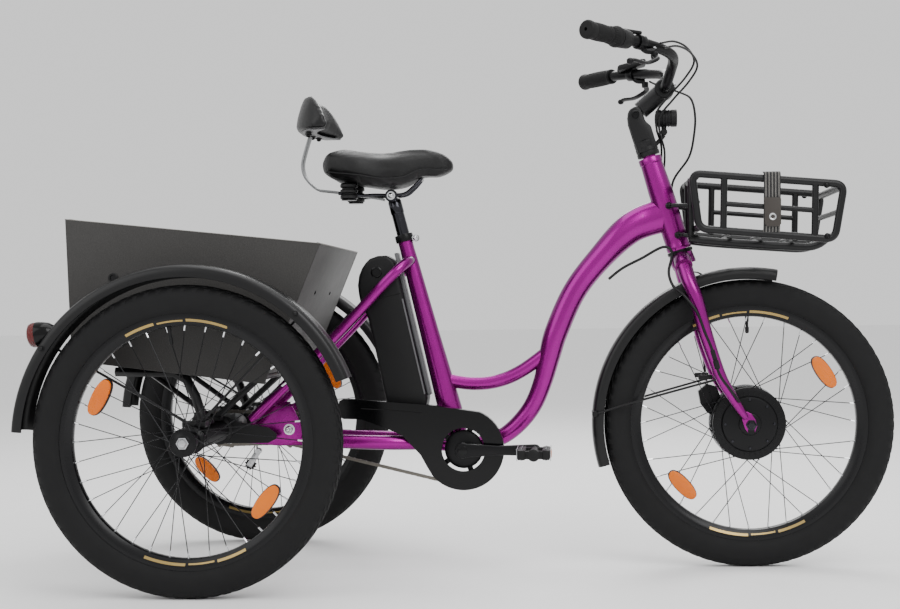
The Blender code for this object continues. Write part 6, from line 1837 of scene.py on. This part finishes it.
    def axle(self) -> None:
        """The rear axle with the free wheel body and its cog."""
        spool = lathe([(0.01, -0.309), (0.01, -0.0755), (0.0165, -0.075), (0.017, -0.074),
                       (0.017, -0.035), (0.024, -0.033), (0.027, -0.027), (0.027, 0.056), (0.0255, 0.06),
                       (0.0165, 0.074), (0.016, 0.075), (0.01, 0.0755), (0.01, 0.309)], REAR_AXLE, Y_AXIS, 48)
        cog = self.sprocket(self.cog_teeth, self.inner_y, REAR_AXLE, DULL_STEEL, 0.02)
        self.site.add("axle_cog_look", merged(spool, cog), DULL_STEEL, "cog", "cog_steel", ["axle_cog"])

    def tensioner(self) -> None:
        """The sprung arm with its toothed jockey wheel."""
        pivot, y = Vector((0.07, -0.03, 0.2555)), self.inner_y
        wheel = pivot + Vector((-0.018, 0.0, -0.028))
        arm = slab(strip([(pivot.x + 0.004, pivot.z + 0.006), (pivot.x, pivot.z), (wheel.x, wheel.z),
                          (wheel.x - 0.003, wheel.z - 0.005)], 0.013), y - 0.0085, y - 0.0062, 0.0008)
        boss = rod((pivot.x, y - 0.01, pivot.z), (pivot.x, y + 0.0055, pivot.z), 0.0065, 28, 0.0008)
        jockey = lathe([(0.003, -0.0025), (0.0105, -0.0025), (0.0105, 0.0025), (0.003, 0.0025)],
                       (wheel.x, y, wheel.z), Y_AXIS, 33)
        tooth = slab([(0.01, -0.0022), (0.013, -0.0008), (0.013, 0.0008), (0.01, 0.0022)], -0.0016, 0.0016,
            0.0)
        teeth = ring_of(tooth, 11, Vector((wheel.x, y, wheel.z)), MATT_BLACK)
        pin = rod((wheel.x, y - 0.0095, wheel.z), (wheel.x, y + 0.0035, wheel.z), 0.0035, 20, 0.0006)
        self.site.add("chain_tensioner_look", merged(arm, boss, pin), STEEL, "tensioner", "cog_steel",
                      ["chain_tensioner"])
        self.site.add("chain_tensioner_jockey", merged(jockey, teeth), MATT_BLACK, "tensioner")

    def cranks(self) -> None:
        """Chainring, spindle and both crank arms."""
        ring = self.sprocket(self.ring_teeth, self.ring_y, CRANK, SATIN_BLACK, 0.062)
        arms = []
        spider = slab([(0.01, -0.0075), (0.064, -0.005), (0.064, 0.005), (0.01, 0.0075)], -0.0515, -0.0485,
                      0.0008)
        web = ring_of(spider, 5, CRANK, SATIN_BLACK)
        spindle = lathe([(0.0085, -0.08), (0.0085, -0.056), (0.02, -0.055), (0.039, -0.054), (0.041, -0.0525),
                         (0.041, -0.05), (0.02, -0.047), (0.0085, -0.045), (0.0085, 0.08)], CRANK, Y_AXIS, 56)
        for sign in (-1, 1):
            reach = self.crank_length * (1 if sign < 0 else -1)
            ahead = 0 if reach > 0 else 180
            outline = arc((CRANK.x, CRANK.z), 0.0165, ahead + 62, ahead + 298, 15)
            waist = math.copysign(0.0098, reach)
            outline.append((CRANK.x + reach * 0.5, CRANK.z - waist))
            outline += arc((CRANK.x + reach, CRANK.z), 0.0125, ahead - 85, ahead + 85, 13)
            outline.append((CRANK.x + reach * 0.5, CRANK.z + waist))
            low_y, high_y = sorted((sign * 0.08, sign * 0.092))
            arms.append(slab(outline, low_y, high_y, 0.0026, 3))
        self.site.add("crankset_look", merged(ring, web, spindle, *arms), SATIN_BLACK, "cranks",
            "black_alloy", ["crankset"])
        caps = [lathe([(0.0105, 0.0), (0.0105, 0.0008), (0.0085, 0.0016), (0.004, 0.002)],
                      CRANK + Y_AXIS * s * 0.0919, Y_AXIS * s, 32) for s in (-1, 1)]
        self.site.add("crank_caps", merged(*caps), GLOSS_BLACK, "cranks")

    def pedals(self) -> None:
        """Platform pedals: resin body, steel cage with teeth, amber reflectors front and back."""
        for side in Side:
            sign = side.value
            c = CRANK + X_AXIS * self.crank_length * -sign
            spindle = lathe([(0.0046, 0.0805), (0.0046, 0.0933), (0.008, 0.0945), (0.0092, 0.096),
                (0.0092, 0.185), (0.0125, 0.1895), (0.0125, 0.1985), (0.01, 0.2)], (c.x, 0, c.z),
                Y_AXIS * sign, 28)
            blocks, cage, lenses = [spindle], [], []
            low_y, high_y = sorted((sign * 0.1025, sign * 0.1935))
            for way in (-1, 1):
                x = c.x + way * 0.025
                blocks.append(box((x - 0.008, low_y, c.z - 0.01), (x + 0.008, high_y, c.z + 0.01), 0.0025))
                face = c.x + way * 0.0335
                cage.append(box((min(face, face + way * 0.0014), low_y, c.z - 0.012),
                                (max(face, face + way * 0.0014), high_y, c.z + 0.012), 0.0005))
                lenses.append(box((face + way * 0.0012 - 0.0012, sign * 0.148 - 0.02, c.z - 0.007),
                                  (face + way * 0.0012 + 0.0012, sign * 0.148 + 0.02, c.z + 0.007), 0.0008))
                for y in (0.118, 0.133, 0.163, 0.178):
                    for up in (-1, 1):
                        cage.append(rod((x, sign * y, c.z + up * 0.0098), (x, sign * y, c.z + up * 0.0124),
                            0.0019, 8))
            for y in (sign * 0.107, sign * 0.187):
                blocks.append(box((c.x - 0.028, y - 0.0045, c.z - 0.0085),
                    (c.x + 0.028, y + 0.0045, c.z + 0.0085), 0.002))
            body = f"pedal_body_{side.word}"
            self.site.add(f"pedal_{side.word}_look", merged(*blocks), MATT_BLACK, body, "black_plastic",
                          [f"pedal_{side.word}"])
            self.site.add(f"pedal_{side.word}_cage", merged(*cage), STEEL, body)
            self.site.add(f"pedal_{side.word}_reflectors", merged(*lenses), AMBER, body)

    def guard(self) -> None:
        """The gloss guard: a flat face with a rolled rim, and a ridge on it."""
        cover = 0.0865
        outline = arc((CRANK.x, CRANK.z), cover, -140, 66, 40)
        outline += [(0.448, 0.354), (0.356, 0.3615), (0.262, 0.369), (0.253, 0.364), (0.2515, 0.355),
                    (0.2515, 0.338), (0.2545, 0.33), (0.262, 0.326), (0.3, 0.325), (0.355, 0.3045),
                    (0.387, 0.29), (0.404, 0.272), (0.426, 0.248), (0.44, 0.222)]
        shape = bmesh.new()
        outer = [shape.verts.new((x, -0.0655, z)) for x, z in outline]
        hole = [shape.verts.new((CRANK.x + 0.046 * math.cos(a), -0.0655, CRANK.z + 0.046 * math.sin(a)))
                for a in (2 * math.pi * k / 48 for k in range(48))]
        edges = [shape.edges.new((ring[k], ring[(k + 1) % len(ring)])) for ring in (outer, hole)
                 for k in range(len(ring))]
        bmesh.ops.triangle_fill(shape, edges=edges, use_beauty=True)
        mesh = from_bmesh(shape)
        if sum(p.normal.y for p in mesh.polygons) > 0:
            mesh.flip_normals()
        plate = self.site.loose("chain_guard_look", mesh)
        wall = plate.modifiers.new("wall", "SOLIDIFY")
        wall.thickness = 0.0024
        wall.offset = -1
        bake(plate)
        shape = bmesh.new()
        shape.from_mesh(plate.data)
        rim_path = [(x, z) for x, z in arc((CRANK.x, CRANK.z), cover - 0.0012, -15, 66, 20)]
        rim_path += [(0.448, 0.3528), (0.356, 0.3603), (0.262, 0.3676)]
        rim = slab(strip(rim_path, 0.0022), -0.064, -0.0406, 0.0006)
        rim.transform(Matrix.Translation(self.site.shift))
        shape.from_mesh(rim)
        bpy.data.meshes.remove(rim)
        plate.data = from_bmesh(shape, 30.0, recalc=False)
        self.site.dress(plate, GLOSS_BLACK, "frame", "guard_plastic", ["chain_guard"])
        ridge = sweep([(x, -0.0658, z) for x, z in
                       [(0.3, 0.348), (0.36, 0.344), (0.43, 0.337)]], 0.0011, 8, 5)
        self.site.add("chain_guard_ridge", ridge, GLOSS_BLACK, "frame")


@dataclass
class Battery:
    """The battery on its rail behind the seat tube."""

    site: Site
    lean_deg: float = 12.55

    def build(self) -> None:
        """Make the rail, the case, its seam, grey strips and lock."""
        lean = math.radians(self.lean_deg)
        up = Vector((-math.sin(lean), math.cos(lean)))
        back = Vector((-up.y, up.x))
        face = Vector((0.4565, 0.34)) + back * 0.0035

        def corner(along: float, away: float) -> tuple[float, float]:
            """A point of the side view, along the rail and away from it."""
            return tuple(face + up * along + back * away)

        rail = slab([corner(0.035, 0.0), corner(0.35, 0.0), corner(0.35, 0.0075), corner(0.035, 0.0075)],
            -0.019, 0.019, 0.0012)
        self.site.add("battery_rail_look", rail, GREY_STRIP, "frame", "black_plastic", ["battery_rail"])
        s = 0.0078
        outline = [corner(*p) for p in ((0.03, s), (0.325, s), (0.34, s + 0.005), (0.349, s + 0.016),
            (0.352, s + 0.034), (0.35, s + 0.052), (0.344, s + 0.062), (0.334, s + 0.073), (0.32, s + 0.083),
            (0.3, s + 0.0905), (0.28, s + 0.0928), (0.262, s + 0.093), (0.242, s + 0.0885),
            (0.225, s + 0.085), (0.18, s + 0.085), (0.13, s + 0.086), (0.03, s + 0.088), (0.018, s + 0.085),
            (0.012, s + 0.078), (0.005, s + 0.06), (0.003, s + 0.048), (0.004, s + 0.028), (0.01, s + 0.008))]
        case = slab(outline, -0.04, 0.04, 0.0075, 4)
        self.site.add("battery_look", case, MATT_BLACK, "battery_pack", "black_plastic", ["battery"])
        seam = []
        for side in (-1, 1):
            seam.append(slab(strip([corner(0.262, s + 0.004), corner(0.262, s + 0.045),
                corner(0.27, s + 0.089)], 0.0016), side * 0.0402 - 0.0004, side * 0.0402 + 0.0004, 0.0))
        self.site.add("battery_seam", merged(*seam), GLOSS_BLACK, "battery_pack")
        strips = [slab([corner(0.04, s + 0.001), corner(0.25, s + 0.001), corner(0.25, s + 0.0045),
                        corner(0.04, s + 0.0045)], sign * 0.0403 - 0.0008, sign * 0.0403 + 0.0008, 0.0003)
                  for sign in (-1, 1)]
        self.site.add("battery_strips", merged(*strips), GREY_STRIP, "battery_pack")
        spot = Vector(corner(0.318, s + 0.044))
        lock = lathe([(0.012, 0.0), (0.012, 0.0008), (0.01, 0.0018), (0.008, 0.0018), (0.0076, 0.0008),
                      (0.001, 0.0008)], (spot.x, -0.0399, spot.y), -Y_AXIS, 36)
        self.site.add("battery_lock", lock, GLOSS_BLACK, "battery_pack")


# ------------------------------------------------------------------ camera, floor and light
def stage(site: Site) -> None:
    """A pale floor, soft lights and the camera."""
    floor_mesh = bpy.data.meshes.new("floor")
    floor_mesh.from_pydata([(-30, -30, 0), (30, -30, 0), (30, 30, 0), (-30, 30, 0)], [], [(0, 1, 2, 3)])
    floor = bpy.data.objects.new("floor", floor_mesh)
    bpy.context.scene.collection.objects.link(floor)
    floor.data.materials.append(Finish("pale_floor", "#F4F4F4", "#F1F1F1", 0.65, grain_mm=3,
        bump=0.01).material())
    world = bpy.data.worlds.new("studio")
    bpy.context.scene.world = world
    world.use_nodes = True
    world.node_tree.nodes["Background"].inputs[0].default_value = linear("#FFFFFF")
    world.node_tree.nodes["Background"].inputs[1].default_value = 1.0
    for name, place, size, power in (("key", (1.6, -2.6, 3.0), 2.2, 80.0),
            ("fill", (-2.4, -2.0, 2.2), 2.4, 30.0), ("rim", (0.2, 2.6, 2.8), 2.0, 60.0),
            ("top", (0.0, 0.0, 3.4), 2.6, 50.0)):
        lamp = bpy.data.lights.new(name, "AREA")
        lamp.energy = power
        lamp.size = size
        made = bpy.data.objects.new(name, lamp)
        made.location = place
        made.rotation_euler = (Vector((0, 0, 0.5)) - Vector(place)).to_track_quat("-Z", "Y").to_euler()
        bpy.context.scene.collection.objects.link(made)
    data = bpy.data.cameras.new("camera")
    data.sensor_width = 36.0
    data.lens = 58.25
    data.shift_x = -0.0286
    data.shift_y = 0.0206
    camera = bpy.data.objects.new("camera", data)
    yaw, pitch, roll = 0.06815, 0.01222, -0.01331
    ahead = Vector((-math.sin(yaw) * math.cos(pitch), math.cos(yaw) * math.cos(pitch), -math.sin(pitch)))
    right = Vector((math.cos(yaw), math.sin(yaw), 0.0))
    above = right.cross(ahead)
    right, above = (right * math.cos(roll) + above * math.sin(roll),
                    above * math.cos(roll) - right * math.sin(roll))
    camera.matrix_world = Matrix((
        (right.x, above.x, -ahead.x, 0), (right.y, above.y, -ahead.y, 0), (right.z, above.z, -ahead.z, 0),
        (0, 0, 0, 1)))
    camera.location = site.world((0.75742, -3.14323, 0.56499))
    bpy.context.scene.collection.objects.link(camera)
    bpy.context.scene.camera = camera


def main() -> None:
    """Build every sub-assembly round the frame."""
    logging.basicConfig(level=logging.INFO, format="%(message)s")
    FRAME.update(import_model())
    site = Site()
    stage(site)
    builders: list = [FrameTubes(site), RearEnd(site), CargoBox(site), Basket(site)]
    for side, degs in ((Side.RIGHT, (152.6, -37.3)), (Side.LEFT, (223.0, 30.2))):
        word = side.word
        builders.append(RearWheel(site, REAR_AXLE + Y_AXIS * side.value * HALF_TRACK, f"rear_{word}",
            f"wheel_{word}", side.value, {"tyre": f"rear_tyre_{word}", "rim": f"rear_wheel_{word}"}, degs))
    builders.append(MotorWheel(site, FRONT_AXLE, "front", "front_wheel", -1,
                               {"tyre": "front_tyre", "rim": "front_rim"}, (33.7, 223.0), hub_radius=0.0775,
                               flange=0.024, lead_deg=34.0, valve_deg=90.0))
    builders += [Fork(site), Stem(site), Cockpit(site), Cables(site), Seat(site), Drive(site), Battery(site)]
    for builder in builders:
        builder.build()
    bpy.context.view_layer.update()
    LOG.info("%d pieces", site.count)


if __name__ == "__main__":
    main()
